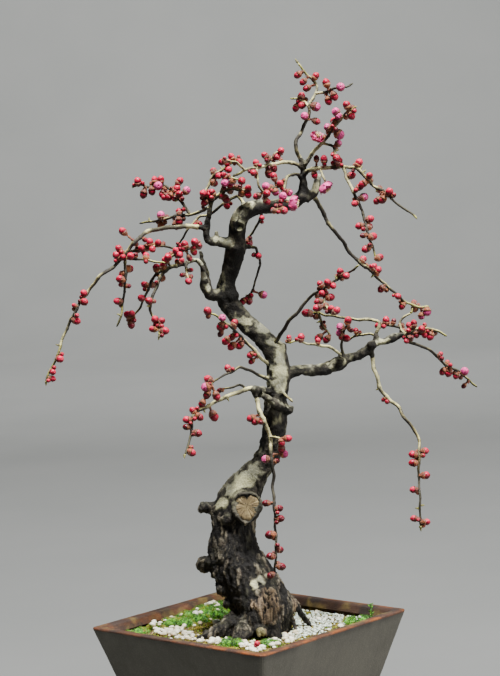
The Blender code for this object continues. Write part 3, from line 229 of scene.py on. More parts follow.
def repeated(shape, places, name):
    """One mesh of many copies of a small shape, one for each matrix. They are gathered in
    batches, because adding to a large mesh is slow."""
    batches = []
    for start in range(0, len(places), BATCH):
        copies = []
        for place in places[start : start + BATCH]:
            copy = shape.copy()
            copy.transform(place)
            copies.append(copy)
        batches.append(joined(copies, name))
        for copy in copies:
            bpy.data.meshes.remove(copy)
    return joined(batches, name)


def write_values(mesh, name, values):
    """Keeps one number for each point of the mesh, which its material reads."""
    layer = mesh.attributes.get(name) or mesh.attributes.new(name, "FLOAT", "POINT")
    layer.data.foreach_set("value", np.asarray(values, np.float32))


def points_of(mesh):
    """The mesh's points, in mm."""
    points = np.empty(len(mesh.vertices) * 3, np.float32)
    mesh.vertices.foreach_get("co", points)
    return points.reshape(-1, 3) / MM


def curve_through(points, radii, step):
    """A smooth route through the drawn points, with a point every `step` mm or so."""
    rows = [Vector((*point, radius)) for point, radius in zip(points, radii)]
    rows = [rows[0] * 2 - rows[1]] + rows + [rows[-1] * 2 - rows[-2]]
    route = [rows[1]]
    for a, b, c, d in zip(rows, rows[1:], rows[2:], rows[3:]):
        parts = max(1, round((c - b).length / step))
        for k in range(1, parts + 1):
            t = k / parts
            bend = (c - a) * t + (a * 2 - b * 5 + c * 4 - d) * t**2
            bend += (b * 3 - a - c * 3 + d) * t**3
            route.append(b + bend / 2)
    return [row.to_3d() for row in route], [max(row[3], 0.2) for row in route]


def seats_along(points, radii):
    """A matrix for each ring of a stem: square to the route and as wide as the stem."""
    run = lengths_along(points)
    seats = []
    mark = None
    for i, centre in enumerate(points):
        reach = max(1.3 * radii[i], 1.0)
        before = along(points, run, run[i] - reach)[0]
        after = along(points, run, run[i] + reach)[0]
        heading = (after - before).normalized()
        if mark is None:
            mark = heading.orthogonal().normalized()
            if abs(heading.z) > 0.5:
                mark = Vector((1, 0, 0))
        mark = (mark - heading * mark.dot(heading)).normalized()
        other = heading.cross(mark)
        turned = Matrix((mark, other, heading)).transposed().to_4x4()
        seats.append(Matrix.Translation(centre) @ turned @ Matrix.Scale(radii[i], 4))
    return seats


def pushed_out(seats, sides, shape=None):
    """A closed body: a disc that is pushed out from ring to ring. Each seat is the matrix
    of one ring; the shape gives a ring's swelling by turn and by its number."""
    bm = bmesh.new()
    bmesh.ops.create_circle(bm, cap_ends=True, segments=sides, radius=1.0)
    bm.faces.ensure_lookup_table()
    end = bm.faces[0]
    rings = [list(bm.verts)]
    for _ in seats[1:]:
        pushed = bmesh.ops.extrude_face_region(bm, geom=[end, *end.edges, *end.verts])["geom"]
        rings.append([part for part in pushed if isinstance(part, bmesh.types.BMVert)])
        end = next(part for part in pushed if isinstance(part, bmesh.types.BMFace))
    for number, (seat, ring) in enumerate(zip(seats, rings)):
        for vert in ring:
            swell = shape(math.atan2(vert.co.y, vert.co.x), number) if shape else 1.0
            vert.co = seat @ (vert.co * swell)
    return bm


def stem(points, radii, sides, shape=None):
    """A closed stem along a route; the shape gives its flutes by turn and by length."""
    run = lengths_along(points)
    fluting = (lambda turn, number: shape(turn, run[number])) if shape else None
    return pushed_out(seats_along(points, radii), sides, fluting)


def upright(profile, sides, shape=None):
    """A body along +Z through rings of (height, radius)."""
    seats = [
        Matrix.Translation((0, 0, height)) @ Matrix.Diagonal((radius, radius, 1, 1))
        for height, radius in profile
    ]
    return pushed_out(seats, sides, shape)


def pointing(centre, axis, size, spin=0.0):
    """A matrix that puts a unit shape at the centre, its +Z along the axis. Shapes are
    already in metres, so only the place is scaled."""
    turn = axis.to_track_quat("Z", "Y").to_matrix().to_4x4()
    place = Matrix.Translation(centre * MM) @ turn
    return place @ Matrix.Rotation(spin, 4, "Z") @ Matrix.Scale(size, 4)


def smooth_part(value, low, high):
    """0 below low, 1 above high, and an even rise between them."""
    part = min(max((value - low) / (high - low), 0.0), 1.0)
    return part * part * (3 - 2 * part)


# Materials


def colour(code):
    """An sRGB hex colour as linear red, green, blue and alpha."""
    parts = [int(code[i : i + 2], 16) / 255 for i in (1, 3, 5)]
    linear = [c / 12.92 if c <= 0.04045 else ((c + 0.055) / 1.055) ** 2.4 for c in parts]
    return (*linear, 1.0)


class Finish:
    """A material in the making: its nodes, its shader and its Object coordinates."""

    def __init__(self, name, sockets):
        self.material = bpy.data.materials.new(name)
        self.material.use_nodes = True
        self.tree = self.material.node_tree
        self.shader = self.tree.nodes["Principled BSDF"]
        for socket, value in sockets.items():
            self.shader.inputs[socket].default_value = value
        self.where = self.node("ShaderNodeTexCoord", output="Object")

    def node(self, kind, inputs=None, output=0, **settings):
        """Adds a node and gives one output of it. Inputs are plain values or other outputs."""
        made = self.tree.nodes.new(kind)
        for key, value in settings.items():
            setattr(made, key, value)
        for key, value in (inputs or {}).items():
            if isinstance(value, bpy.types.NodeSocket):
                self.tree.links.new(value, made.inputs[key])
            else:
                made.inputs[key].default_value = value
        return made.outputs[output]

    def patches(self, size, low, high, detail=3.0, where=None):
        """A mask of irregular patches some `size` mm across: 0 below low, 1 above high."""
        inputs = {"Vector": where or self.where, "Scale": 1000 / size, "Detail": detail}
        cloud = self.node("ShaderNodeTexNoise", inputs)
        return self.node("ShaderNodeMapRange", {"Value": cloud, "From Min": low, "From Max": high})

    def kept(self, name, low=0.0, high=1.0, at_low=0.0, at_high=1.0):
        """A mask from a number that the mesh keeps for each point."""
        value = self.node("ShaderNodeAttribute", None, "Fac", attribute_name=name)
        ends = {"From Min": low, "From Max": high, "To Min": at_low, "To Max": at_high}
        return self.node("ShaderNodeMapRange", {"Value": value, **ends})

    def facing_up(self, low, high, strongest=1.0):
        """A mask from how far the surface faces up, which is 1 on top and -1 underneath."""
        normal = self.node("ShaderNodeNewGeometry", None, "Normal")
        value = self.node("ShaderNodeSeparateXYZ", {0: normal}, "Z")
        ends = {"From Min": low, "From Max": high, "To Max": strongest}
        return self.node("ShaderNodeMapRange", {"Value": value, **ends})

    def placed(self, axis, low, high):
        """A mask from the place along an axis, in mm: 0 at low, 1 at high."""
        value = self.node("ShaderNodeSeparateXYZ", {0: self.where}, axis)
        ends = {"From Min": low * MM, "From Max": high * MM}
        return self.node("ShaderNodeMapRange", {"Value": value, **ends})

    def done(self, base, *rows, relief=None, depth=0.0, strength=1.0):
        """The material with its base colour, each row's colour laid over it where all the
        row's masks are, and a relief of up to `depth` mm."""
        below = colour(base)
        for tint, mask, *others in rows:
            for other in others:
                parts = {0: mask, 1: other}
                mask = self.node("ShaderNodeMath", parts, operation="MULTIPLY", use_clamp=True)
            parts = {0: mask, 6: below, 7: colour(tint)}
            below = self.node("ShaderNodeMix", parts, 2, data_type="RGBA")
        self.tree.links.new(below, self.shader.inputs["Base Color"])
        if relief:
            parts = {"Height": relief, "Distance": depth * MM, "Strength": strength}
            self.tree.links.new(self.node("ShaderNodeBump", parts), self.shader.inputs["Normal"])
        return self.material


# The wood

# (across, down, back, radius) from below the soil to the top of the tree
TRUNK = [
    (261, 690, -4, 15), (261, 668, -6, 21), (261, 648, -8, 26), (261.5, 630, -9, 28.5),
    (263.5, 611, -9, 30), (255.5, 592, -7, 27.5), (243.5, 575, -5, 27), (235, 559, -3, 25.5),
    (232.5, 544, -1, 23.5), (233.2, 530, 1, 22), (233.8, 516, 3, 22.5), (238, 503, 4, 22),
    (244.5, 490.5, 3, 18.6), (252.5, 478, 2, 14.6), (261.5, 466.5, 0, 12), (268.5, 455, -2, 11.4),
    (272.3, 443, -4, 11.6), (274.5, 428, -5, 11.6), (275, 410, -6, 11.5), (277, 390, -6, 11),
    (278, 372, -4, 11.5), (275.5, 356, -2, 11), (267, 343, 0, 9.8), (256.2, 332, 3, 9.2),
    (244.4, 321.5, 6, 9.3), (232, 308.5, 8, 9.8), (226, 294, 9, 10.2), (228, 279, 8, 8.5),
    (233.5, 260, 4, 9.2), (236.2, 247, 1, 9.8), (237.4, 234, -2, 8), (238.2, 224, -4, 8.6),
    (243, 214, -5, 8), (254, 208, -4, 7.5), (268, 207, -1, 7), (283, 205, 2, 6.5), (296, 201.5, 4, 6.5),
    (303, 192, 4, 5), (303, 178, 2, 3.4), (303.5, 165, 0, 2.8),
]

# Thick limbs: each starts inside the wood that it grows from
LIMBS = {
    "limb_left": [
        (237, 244, 0, 6.5), (225.7, 242.7, -4, 5.6), (216.8, 241.2, -7, 5), (208, 240, -9, 4.2),
        (206.5, 233.8, -10, 3.6), (207.5, 224, -11, 3), (209, 216, -12, 2.6),
    ],
    "limb_arch": [
        (226, 292, 8, 7), (212, 295, 0, 5.8), (204, 286.5, -5, 4.3), (203.8, 276, -8, 3),
        (202, 267, -11, 2.7), (197.5, 260.5, -13, 2.5), (191.5, 260.8, -15, 2.4), (185, 263.5, -17, 2.2),
        (177, 265.8, -19, 2),
    ],
    "limb_arch_twin": [
        (209, 290, -3, 3.6), (207.6, 276, 1, 2.6), (205, 266, 4, 2.3), (202, 259.5, 6, 2),
        (200.2, 251, 8, 1.6),
    ],
    "limb_right": [
        (277, 374, -4, 7), (290, 373, -3, 6.4), (299, 370, -1, 5.6), (312, 370.5, 2, 5.8),
        (325.7, 368.6, 5, 6), (339, 363.4, 8, 7.2), (347, 359.2, 10, 5.4), (357, 356.2, 11, 4.6),
        (366, 351.6, 12, 4.6), (371.6, 346.6, 13, 5), (377, 342.2, 14, 3.6), (384, 341.6, 15, 3.4),
        (390, 339, 16, 4.4), (394.5, 337.4, 17, 4.6),
    ],
    "limb_low": [
        (276, 396, -6, 5), (266.4, 391, -14, 3.8), (259.5, 389.4, -20, 3.2), (254, 388.6, -24, 2.9),
    ],
    "spur_front": [
        (262, 395, -22, 2.7), (270, 400, -22, 3.3), (279, 405.5, -19, 3.7), (286, 409, -14, 4.1),
        (290.5, 410.5, -9, 4.4),
    ],
    "stub_fork": [(277, 362, -3, 9), (279.5, 350, -3, 7.6), (281, 343, -3, 5.5)],
    "stub_top": [(305, 199, 4, 5), (314, 193, 6, 4.2), (317, 182, 8, 3.8), (318.6, 174, 9, 3.2)],
    "stub_low_left": [(225, 565, -4, 10), (205, 564, -8, 8.5), (198, 563.5, -9, 6)],
    "stub_high_left": [(222, 509, 2, 8), (208, 508, 0, 6.8), (199.5, 506.5, -1, 5)],
    "knob_right": [(280, 411, -6, 5), (288, 410.4, -7, 4.6), (293, 409.6, -7, 3)],
    "spur_left": [(217, 241, -7, 2.6), (216.4, 235.5, -8, 2.2), (216, 231, -8, 1.5)],
    "cut_stub": [(262, 390, -17, 2.2), (260, 394.6, -18, 2), (259, 398, -18, 1.6)],
}

# Roots, the strands beside them and the ridges that run down into them
ROOTS = {
    "root_left": [(239, 616, -4, 10), (224, 628, -14, 7.5), (214, 635, -22, 6), (206, 644, -28, 4)],
    "root_front_left": [
        (248, 622, -24, 13), (244, 633, -38, 10), (238, 641, -48, 6.5), (233, 651, -54, 4),
    ],
    "root_front_right": [
        (268, 620, -26, 13), (272, 632, -40, 9.5), (277, 641, -48, 6), (281, 651, -53, 4),
    ],
    "root_back": [(257, 609, 16, 13), (251, 618, 36, 9.5), (243, 625, 52, 6), (239, 632, 60, 4)],
    "root_back_right": [(272, 609, 14, 12), (280, 617, 30, 8.5), (284, 624, 44, 5), (286, 632, 52, 4)],
    "root_strand": [
        (280, 600, -6, 9), (290.5, 603.5, -6, 7.3), (297, 609, -4, 3.9), (303, 616, -2, 2.8),
        (309.5, 624, 0, 2.4), (315, 634, 2, 2.2),
    ],
    "root_thin": [(288, 610, -12, 3.4), (293.5, 622, -17, 2.4), (296, 634, -21, 2), (297, 644, -24, 1.8)],
    "root_cut": [(260.5, 628, -26, 7), (260.5, 632.5, -50, 5.8)],
    "ridge_left": [(262, 584, -24, 5), (258, 602, -34, 6.5), (256, 618, -37, 6.5), (256, 632, -38, 5)],
    "ridge_right": [(268, 588, -24, 5), (272, 604, -34, 7), (269, 618, -37, 6.5), (268, 632, -38, 5)],
}

# lumps of scar wood: (across, down, back, radius)
BURLS = [
    (215, 545, -10, 7), (214, 562, -12, 10), (222, 588, -16, 9), (229, 520, -16, 8), (240, 600, -24, 9),
    (283, 405, -8, 6), (284, 380, -6, 7), (232, 296, 4, 8), (236, 248, -4, 7),
]

WOUND_CENTRE = (248.5, 507)


def fluted(turn, run):
    """The ridges of old wood: strong at the foot, faint towards the top."""
    depth = 0.085 if run < 150 else 0.05
    return (
        1.0
        + depth * math.sin(3 * turn + 0.021 * run)
        + 0.6 * depth * math.sin(5 * turn - 0.034 * run + 1.3)
    )


def in_space(route):
    return [at_depth(a, d, b) for a, d, b, _ in route], [r for *_, r in route]
# Sprays: twigs with their buds and flowers, drawn as in the part's source

TWIG_GIRTH = 1.2  # the twigs' radii, as a share of those drawn with their routes


class Twig:
    """One twig: a drawn route, the depth of its tip and its two end radii."""

    def __init__(self, route, back, thick=(1.5, 0.9), sway=3.0):
        self.route, self.back, self.thick, self.sway = route, back, thick, sway
        self.points = self.radii = None

    def place(self, hosts, draw):
        """Roots the twig on the nearest host axis and carries it to its own depth."""
        first = Vector(self.route[0])
        root, distance = None, 1e9
        for host in hosts:
            run = lengths_along(host)
            steps = max(2, int(run[-1] / 1.5))
            for i in range(steps + 1):
                point = along(host, run, run[-1] * i / steps)[0]
                away = (Vector(on_board(point)) - first).length
                if away < distance:
                    root, distance = point, away
        drawn = [Vector(on_board(root))] + [Vector(p) for p in self.route]
        drawn = [drawn[0]] + [p for p in drawn[1:] if (p - drawn[0]).length > 2.0]
        flat = [Vector((p.x, p.y, 0)) for p in drawn]
        run = lengths_along(flat)
        phase = draw.uniform(0, 2 * math.pi)
        waves = run[-1] / 45.0
        self.points = [root]
        for point, s in zip(drawn[1:], run[1:]):
            part = s / run[-1]
            bend = self.sway * math.sin(phase + waves * part * 2 * math.pi)
            bend -= self.sway * math.sin(phase)
            back = root.y + (self.back - root.y) * part + bend * min(1.0, s / 12)
            self.points.append(at_depth(point.x, point.y, back))
        run = lengths_along(self.points)
        thick, thin = self.thick
        self.radii = [TWIG_GIRTH * (thick + (thin - thick) * s / run[-1]) for s in run]


def nearest_on(twigs, across, down):
    """The nearest point of the twigs' axes on the board, with its radius."""
    place = Vector((across, down))
    best = None
    for points, radii in twigs:
        run = lengths_along(points)
        steps = max(2, int(run[-1] / 1.0))
        for i in range(steps + 1):
            point, k, part = along(points, run, run[-1] * i / steps)
            away = (Vector(on_board(point)) - place).length
            if best is None or away < best[0]:
                radius = radii[k] + (radii[k + 1] - radii[k]) * part
                best = (away, point, radius)
    return best


SPRAYS = {}


def spray(name, host, twigs, buds=(), pink=(), flowers=(), leaves=(), dried=()):
    """Keeps one spray. Each twig has its route on the board, the depth of its tip and its
    radii; buds and the rest are (across, down) on the board, some with a radius."""
    SPRAYS[name] = (host, twigs, buds, pink, flowers, leaves, dried)
spray("spray_left_long", "limb_left", [
    Twig([(207, 228), (190, 226.5), (165, 228), (147.5, 232), (136, 241), (124.3, 254.6), (115.4, 265),
        (107, 271.6), (99, 276.4), (94.4, 284), (88.6, 290.7), (83, 298.4), (78, 306), (73.3, 315.6),
        (68.5, 325), (64.7, 334), (61, 343), (58.5, 353), (55.6, 360.5), (51.3, 368),
        (46, 381)], -62, (2.0, 0.9)),
    Twig([(126, 252.5), (137, 250.5), (152, 247), (161.8, 245.7), (171.6, 248.4),
        (176, 248.5)], -14, (1.2, 0.8)),
    Twig([(126, 258), (145.7, 260), (156.4, 261.8), (165, 263)], -36, (1.2, 0.8)),
    Twig([(125.4, 254), (125.4, 268.7), (125.4, 278), (124, 293.6), (122.6, 305), (120.2, 319.4),
        (116.8, 326.6)], -28, (1.3, 0.8))],
    buds=[(83.8, 293), (84.3, 302), (74.3, 305.5, 2.2), (76.2, 320.8), (59.9, 359), (52.7, 372, 3),
        (52.3, 378.7, 3), (118.8, 248.6), (116.8, 255.8), (130.6, 256.3), (122.9, 257.3), (122.9, 231.4),
        (137.7, 249.3), (141.3, 248.4), (152.4, 249.2), (149.7, 242.1), (158.2, 243), (146, 256.5),
        (129.3, 268.8), (120.4, 279.3), (122.6, 274), (117.8, 301.2)],
    pink=[(146.6, 247.5)],
    leaves=[(58, 345), (118.8, 314.6), (46, 384)],
    dried=[(128.3, 286)])
spray("spray_left_crown", "limb_left", [
    Twig([(210, 208), (211.8, 202), (215.4, 197.5), (221.6, 193), (228, 189.5),
        (234, 187)], -22, (2.1, 1.2)),
    Twig([(211, 203.5), (205, 195), (209, 184), (214, 175), (222, 170), (232, 163),
        (238, 159)], -2, (1.3, 0.9)),
    Twig([(207.3, 208), (198.4, 212.7), (190.4, 214.5), (174.3, 216.3), (163.6, 219.4), (148.4, 222),
        (139.5, 223.4)], 22, (1.5, 0.8)),
    Twig([(190, 214.6), (187.7, 211), (179.6, 200), (168, 187.7), (162.7, 185.4), (148.4, 186.8),
        (141.3, 185), (133.2, 186.8)], 44, (1.4, 0.8)),
    Twig([(221, 193), (224, 183), (230, 178), (241, 180)], -30, (1.1, 0.8)),
    Twig([(230, 188.5), (240, 190), (247, 191)], -16, (1.1, 0.8))],
    buds=[(213.6, 171.5), (231.5, 157), (239, 162), (228.4, 169.5), (223.9, 175.7), (218.6, 175.7),
        (214, 183), (241.8, 181), (203.4, 193.6), (212.3, 192.7), (204.7, 202.5), (225.7, 199),
        (230.2, 191), (241.8, 193.6), (248, 188.2), (248, 194.6), (137.7, 181.4), (143.5, 194.4),
        (154.6, 180), (160.9, 179.6), (152, 191.3), (162.2, 194), (164.9, 197), (169.4, 197),
        (179.6, 181.4), (176.5, 189), (179.2, 194.4), (179.2, 212), (161.3, 226.5), (179.2, 221.6),
        (176, 225.6)],
    pink=[(224.8, 183), (232.4, 182), (158.2, 186), (186.8, 190.4), (160.9, 215)],
    leaves=[(220.4, 166.8), (238.2, 186.4), (132.8, 187), (174.3, 202.4), (184, 181), (149.3, 219.8)],
    dried=[(167, 217)])
spray("spray_left_hanging", "limb_arch", [
    Twig([(170.7, 267), (164.2, 271.6), (159.4, 280), (154.6, 291.7), (150.8, 302), (149.8, 309),
        (152.7, 315.6), (159.4, 326), (159.4, 335.7)], -46, (1.7, 0.8)),
    Twig([(165, 269), (157.5, 272.5), (151.8, 281), (147.9, 289.7), (143, 301), (138.4, 310),
        (130.2, 319.4)], -14, (1.4, 0.8)),
    Twig([(171, 267), (168, 262), (172, 256), (179, 253), (190, 248), (197, 243)], -28, (1.1, 0.8))],
    buds=[(144.8, 284.6), (152.4, 285), (141.2, 298), (127.8, 315), (131.7, 313.7), (131.2, 324.7),
        (162, 278), (148.9, 301), (155, 319.4), (153.2, 329), (164.7, 331), (161.3, 321.3), (185, 244.8),
        (194.8, 242), (198.4, 245.7), (193.9, 252), (189.5, 258.2, 2.8), (176, 251), (179.6, 254.6),
        (168, 257.3), (165.4, 260), (181.4, 261, 2.8), (163.6, 265.4), (156.4, 268)],
    leaves=[(158, 341), (148.4, 306)])
spray("spray_arch_hanging", "limb_arch", [
    Twig([(186, 263.5), (186.4, 270), (187.4, 276), (188.6, 280)], -30, (1.0, 0.8), sway=1)],
    buds=[(188.6, 281.4), (182.3, 275, 2.4), (190.8, 270, 2.2)])
spray("spray_cross", "trunk", [
    Twig([(239.5, 197), (233, 198.3), (222.5, 204), (215.4, 210.9), (206.4, 215.5), (199.3, 217),
        (193, 223.4), (188.6, 228.8), (185, 234), (179.6, 243), (176, 248.4)], 34, (1.5, 0.8))],
    buds=[(227, 206), (199.5, 224, 2.8), (181, 246, 3.0)])
spray("spray_top_left", "trunk", [
    Twig([(303.3, 170), (297, 164.5), (289, 162.3), (275.7, 163.7), (261.4, 166.8), (245.4, 170),
        (238.2, 174), (232.9, 176.6)], -44, (1.7, 0.9)),
    Twig([(257, 169.5), (257.4, 177.5), (258.8, 185.5), (264, 193.6)], -30, (1.1, 0.8)),
    Twig([(243.6, 169), (237.3, 163.2), (231, 161.4), (226.6, 160)], -48, (1.1, 0.8)),
    Twig([(265, 164), (270.4, 159.6), (274.8, 153.4), (280.2, 151.6)], -24, (1.1, 0.8))],
    buds=[(256, 163.2), (265, 155.6), (276.6, 157), (281, 150.7), (273.9, 168.5), (253.8, 173),
        (268.6, 174), (257, 196.3), (222, 162)])
spray("spray_top_down", "trunk", [
    Twig([(303, 180), (297, 174.5), (289, 175.7), (285.5, 182), (284.6, 188), (281, 196), (279, 205),
        (276, 211)], -52, (1.5, 0.8)),
    Twig([(285, 186), (277, 187), (268, 190), (263, 197)], -46, (1.1, 0.8))],
    buds=[(273.9, 176.6), (280.2, 183.8), (266.8, 193.6), (266.8, 201.5), (273.9, 210.5), (283.3, 210.5)],
    pink=[(265.9, 186.4), (275.7, 192.7), (282.9, 196.3), (289.5, 193)],
    flowers=[(294, 203.4, 6.2)],
    dried=[(281, 201.6)])
spray("spray_behind_crown", "trunk", [
    Twig([(273, 203), (267, 204), (262.5, 211.4), (257.5, 224.8), (252, 233),
        (248, 238.2)], 34, (1.4, 0.9))],
    buds=[(262, 218, 2.6), (249, 243)])
spray("spray_trunk_side", "trunk", [
    Twig([(247, 246.3), (252, 247), (256, 247.6), (257.2, 252.5), (260.5, 263.2), (258, 270.4),
        (256, 279.3), (252, 291), (248.6, 295.4)], 24, (1.4, 0.8))],
    buds=[(242.8, 301.6), (249, 300.7), (258.5, 256)],
    pink=[(263.6, 295, 4.2)])
spray("spray_top_high", "trunk", [
    Twig([(303.5, 165), (300.2, 158), (296.8, 152.7), (295.9, 147.3), (296.8, 139.3), (301.3, 132),
        (304.8, 124), (309.3, 112.5), (309.3, 105.4), (312.9, 98.2), (317.3, 88.4), (312.9, 80.4),
        (306.6, 74), (301.3, 68), (297.7, 62.5)], 24, (1.8, 0.8)),
    Twig([(316, 93.8), (325.4, 92), (332.5, 89.3), (340.5, 87), (347.7, 86.6),
        (353, 83.5)], 2, (1.2, 0.8)),
    Twig([(309.3, 107), (303.9, 101.8), (296.8, 99), (290.5, 98.2)], 36, (1.1, 0.8))],
    buds=[(297.7, 75), (303, 82), (306.6, 88.4), (315.5, 76.3), (326.3, 83), (328.5, 101), (334.3, 96.4),
        (301.3, 96.4), (302, 105.4), (295.9, 108), (316.4, 121.4)],
    pink=[(340.5, 87), (316.4, 107, 4.8), (304.4, 116)],
    leaves=[(330.7, 94.5), (296, 60)])
spray("spray_top_right", "trunk", [
    Twig([(305.7, 163.4), (312, 154.5), (316.4, 148.2), (323.6, 142), (328, 135.7), (332.5, 129.5),
        (339.6, 120.5), (346.8, 112.5), (356.6, 106.3)], -42, (1.8, 0.8)),
    Twig([(323.6, 144), (330.7, 145.5), (334.3, 148.2), (336, 156.3)], -30, (1.2, 0.9))],
    buds=[(346.8, 105.4), (351.3, 115.6), (334.3, 121.4), (336.5, 158.3)],
    pink=[(335.6, 111.6), (338.3, 116), (327, 126.8), (339.6, 134.8, 5.2), (338.8, 143)],
    flowers=[(317, 136.6, 5.6)],
    leaves=[(342.8, 149)])
spray("spray_right_high", "trunk", [
    Twig([(303.3, 175), (309, 170.5), (316, 168.5), (327, 168), (334.3, 167), (346.8, 167), (355, 168),
        (359.3, 170.5), (367.3, 178.6), (372.7, 185.7), (382.5, 190.2), (390.5, 197.3), (398.6, 205.4),
        (409.3, 211.6), (416.9, 218.8)], -72, (1.8, 0.8)),
    Twig([(343.7, 168.5), (348.6, 182), (355.7, 196.4), (359.3, 205.4), (363, 212.5), (364.6, 221.4),
        (367.3, 230.4), (369, 239.3), (373.6, 248.2), (375.8, 259.8)], -50, (1.4, 0.8)),
    Twig([(320, 168), (323, 176), (325.5, 182)], -24, (1.1, 0.9))],
    buds=[(324, 159.3), (338.8, 161.2), (335.2, 167), (358.8, 163), (351.5, 175.4), (369.3, 176),
        (362.9, 184), (359.7, 187), (379.4, 189.3), (389.2, 192), (382.5, 200), (377, 201), (314.5, 175),
        (354.8, 203.6), (370, 219), (359.3, 226), (369, 226.8), (372.7, 236.6), (366, 249),
        (379.4, 257.6)],
    pink=[(364.2, 197)],
    flowers=[(325.7, 188, 6.0)],
    leaves=[(366.4, 160.3), (364.6, 171), (374.5, 195)],
    dried=[(316.4, 158.5), (363, 235.7)])
spray("spray_right_long", "trunk", [
    Twig([(306, 191.8), (315, 199), (321, 208), (325.4, 218), (333.4, 230.4), (342.3, 240.2),
        (347.4, 249.5), (359.4, 262.5), (368.6, 268.8), (380.2, 280.4), (395.4, 293), (402.5, 300),
        (409.8, 304), (418.2, 307), (428.9, 306.5)], 46, (2.0, 0.9))],
    buds=[(362.9, 259.6), (366.3, 266), (373.5, 267.2), (378, 270.1), (381.3, 289), (402, 306.3),
        (398, 296.4), (413.8, 303.4)],
    pink=[(414.6, 308.8), (427, 312.3), (421.3, 316.8)],
    leaves=[(370.9, 277.7)])
spray("spray_middle_up", "trunk", [
    Twig([(266, 353), (277, 340), (289.6, 320.4), (299.5, 310.5), (308.8, 298.2), (319.5, 291),
        (327.5, 285.7), (333.8, 281.3), (343.6, 275.4), (350.7, 271.4), (358.8, 265.2)], -58, (1.9, 0.9)),
    Twig([(318, 293), (323.9, 296.4), (325.3, 305.4), (332, 314.3)], -66, (1.2, 0.8))],
    buds=[(340.4, 272), (346.3, 276), (320.4, 284.4), (327.5, 282.6), (333, 285.7), (322, 293.8),
        (330.2, 297.3), (318, 301.8), (317.2, 308), (325.7, 306.3), (331, 309), (336.4, 310.7)],
    leaves=[(334.6, 275)])
spray("spray_middle_back", "limb_right", [
    Twig([(376, 334), (379.3, 322.3), (366.8, 319.6), (357.9, 319.6), (347, 318.3), (334.6, 316),
        (325.7, 315.6), (319.5, 312.5), (312.3, 313.4)], 42, (1.6, 0.9)),
    Twig([(318.5, 314), (320.8, 319.6), (323, 326.8), (330.2, 334.8)], 34, (1.1, 0.8))],
    buds=[(306.5, 313, 4.2), (316.3, 316.5), (323, 326.8), (318.6, 338), (326.6, 339.7)],
    leaves=[(315.4, 323)])
spray("spray_middle_short", "limb_right", [
    Twig([(342.7, 353), (341.8, 343), (344.5, 330.4), (347, 324)], -14, (1.4, 0.8))],
    buds=[(348, 320.5), (346.3, 338.4)],
    pink=[(340, 326.8), (339, 333)],
    dried=[(350.7, 330)])
spray("spray_middle_low", "limb_right", [
    Twig([(339, 353), (329.3, 347.3), (320.4, 345.5), (306, 343.3), (297, 340.8),
        (287.9, 342.7)], -34, (1.4, 0.8))],
    buds=[(301, 337.5), (289, 338, 2.6), (318, 341, 2.8)])
spray("spray_right_back", "limb_right", [
    Twig([(373.9, 335), (361.4, 334.8), (352.5, 337.5), (349, 340.2)], 54, (1.3, 0.8))],
    buds=[(356, 331, 2.8)])
spray("spray_right_end", "limb_right", [
    Twig([(399, 336), (406, 334), (414, 330.5), (427, 328.4), (434.3, 330.6), (440.5, 332.4),
        (446.8, 336)], 10, (1.8, 0.9)),
    Twig([(404, 333.5), (400.5, 328.5), (400, 322), (404.8, 316.8), (411, 313)], 30, (1.3, 0.8)),
    Twig([(400, 327), (392, 326), (382.5, 324.5)], 20, (1.1, 0.8)),
    Twig([(405, 335), (409, 342), (418, 345), (423.6, 347), (434.3, 353.4), (441.4, 361.4),
        (450.4, 367.7), (459.3, 372), (465.5, 377.5), (477, 387)], 62, (1.5, 0.8))],
    buds=[(378.5, 325.7), (386, 320.5), (409.3, 325.7), (413.8, 323.6), (416.4, 334.6), (421.8, 329.3),
        (424.5, 334.3), (410.2, 338.4), (406.6, 341, 2.8), (430.3, 336.4), (440.5, 354.3, 2.4),
        (447.2, 362.3, 2.4), (442.8, 371.7), (448.6, 373), (456, 376, 3.0)],
    pink=[(401.3, 326), (403, 331.5), (464.6, 371.3)],
    leaves=[(412, 310)],
    dried=[(393.7, 321.5), (463.8, 386)])
spray("spray_right_hanging", "limb_right", [
    Twig([(371.4, 353.5), (373.6, 366.8), (377, 376.6), (379.8, 387.3), (382.5, 392.7), (389.8, 400),
        (397.9, 406.5), (404.6, 418), (415, 431), (419.2, 442), (419.2, 453.6), (418.8, 467),
        (418.8, 480.4), (420, 498.2), (420, 516), (420.5, 526)], -50, (1.8, 0.8))],
    buds=[(425, 451), (413, 454.5), (413, 463), (425.5, 475.4), (413.5, 489.7), (414, 518.6),
        (426.5, 522), (383.6, 399.6, 2.2)],
    leaves=[(371.5, 392.5), (426, 505), (415, 508), (421, 531)])
spray("spray_low_inner", "trunk", [
    Twig([(272, 366), (264.6, 361.5), (259.3, 356), (252, 348), (245, 341), (239.6, 335.5),
        (232.5, 328.4), (225.4, 323), (216.4, 316), (209.3, 313.2)], -50, (1.7, 0.8))],
    buds=[(207.5, 311), (220.4, 326.5), (234.3, 323), (231.6, 337.4), (231.6, 346.4), (226, 341),
        (239.6, 345.5), (250.4, 355), (251.4, 361.5, 2.8)],
    pink=[(222.5, 317.5)],
    dried=[(220.4, 334)])
spray("spray_low_middle", "trunk", [
    Twig([(270, 380), (258, 374.5), (247.5, 369.5), (239.6, 367.5), (232.5, 371.3), (223.6, 375.7),
        (213.8, 381), (212, 385.5)], -66, (1.6, 0.8))],
    buds=[(208.4, 379.3), (207, 395), (216.4, 396.3), (202, 403.8), (228, 368.5)],
    pink=[(205.7, 387.2, 4.6)])
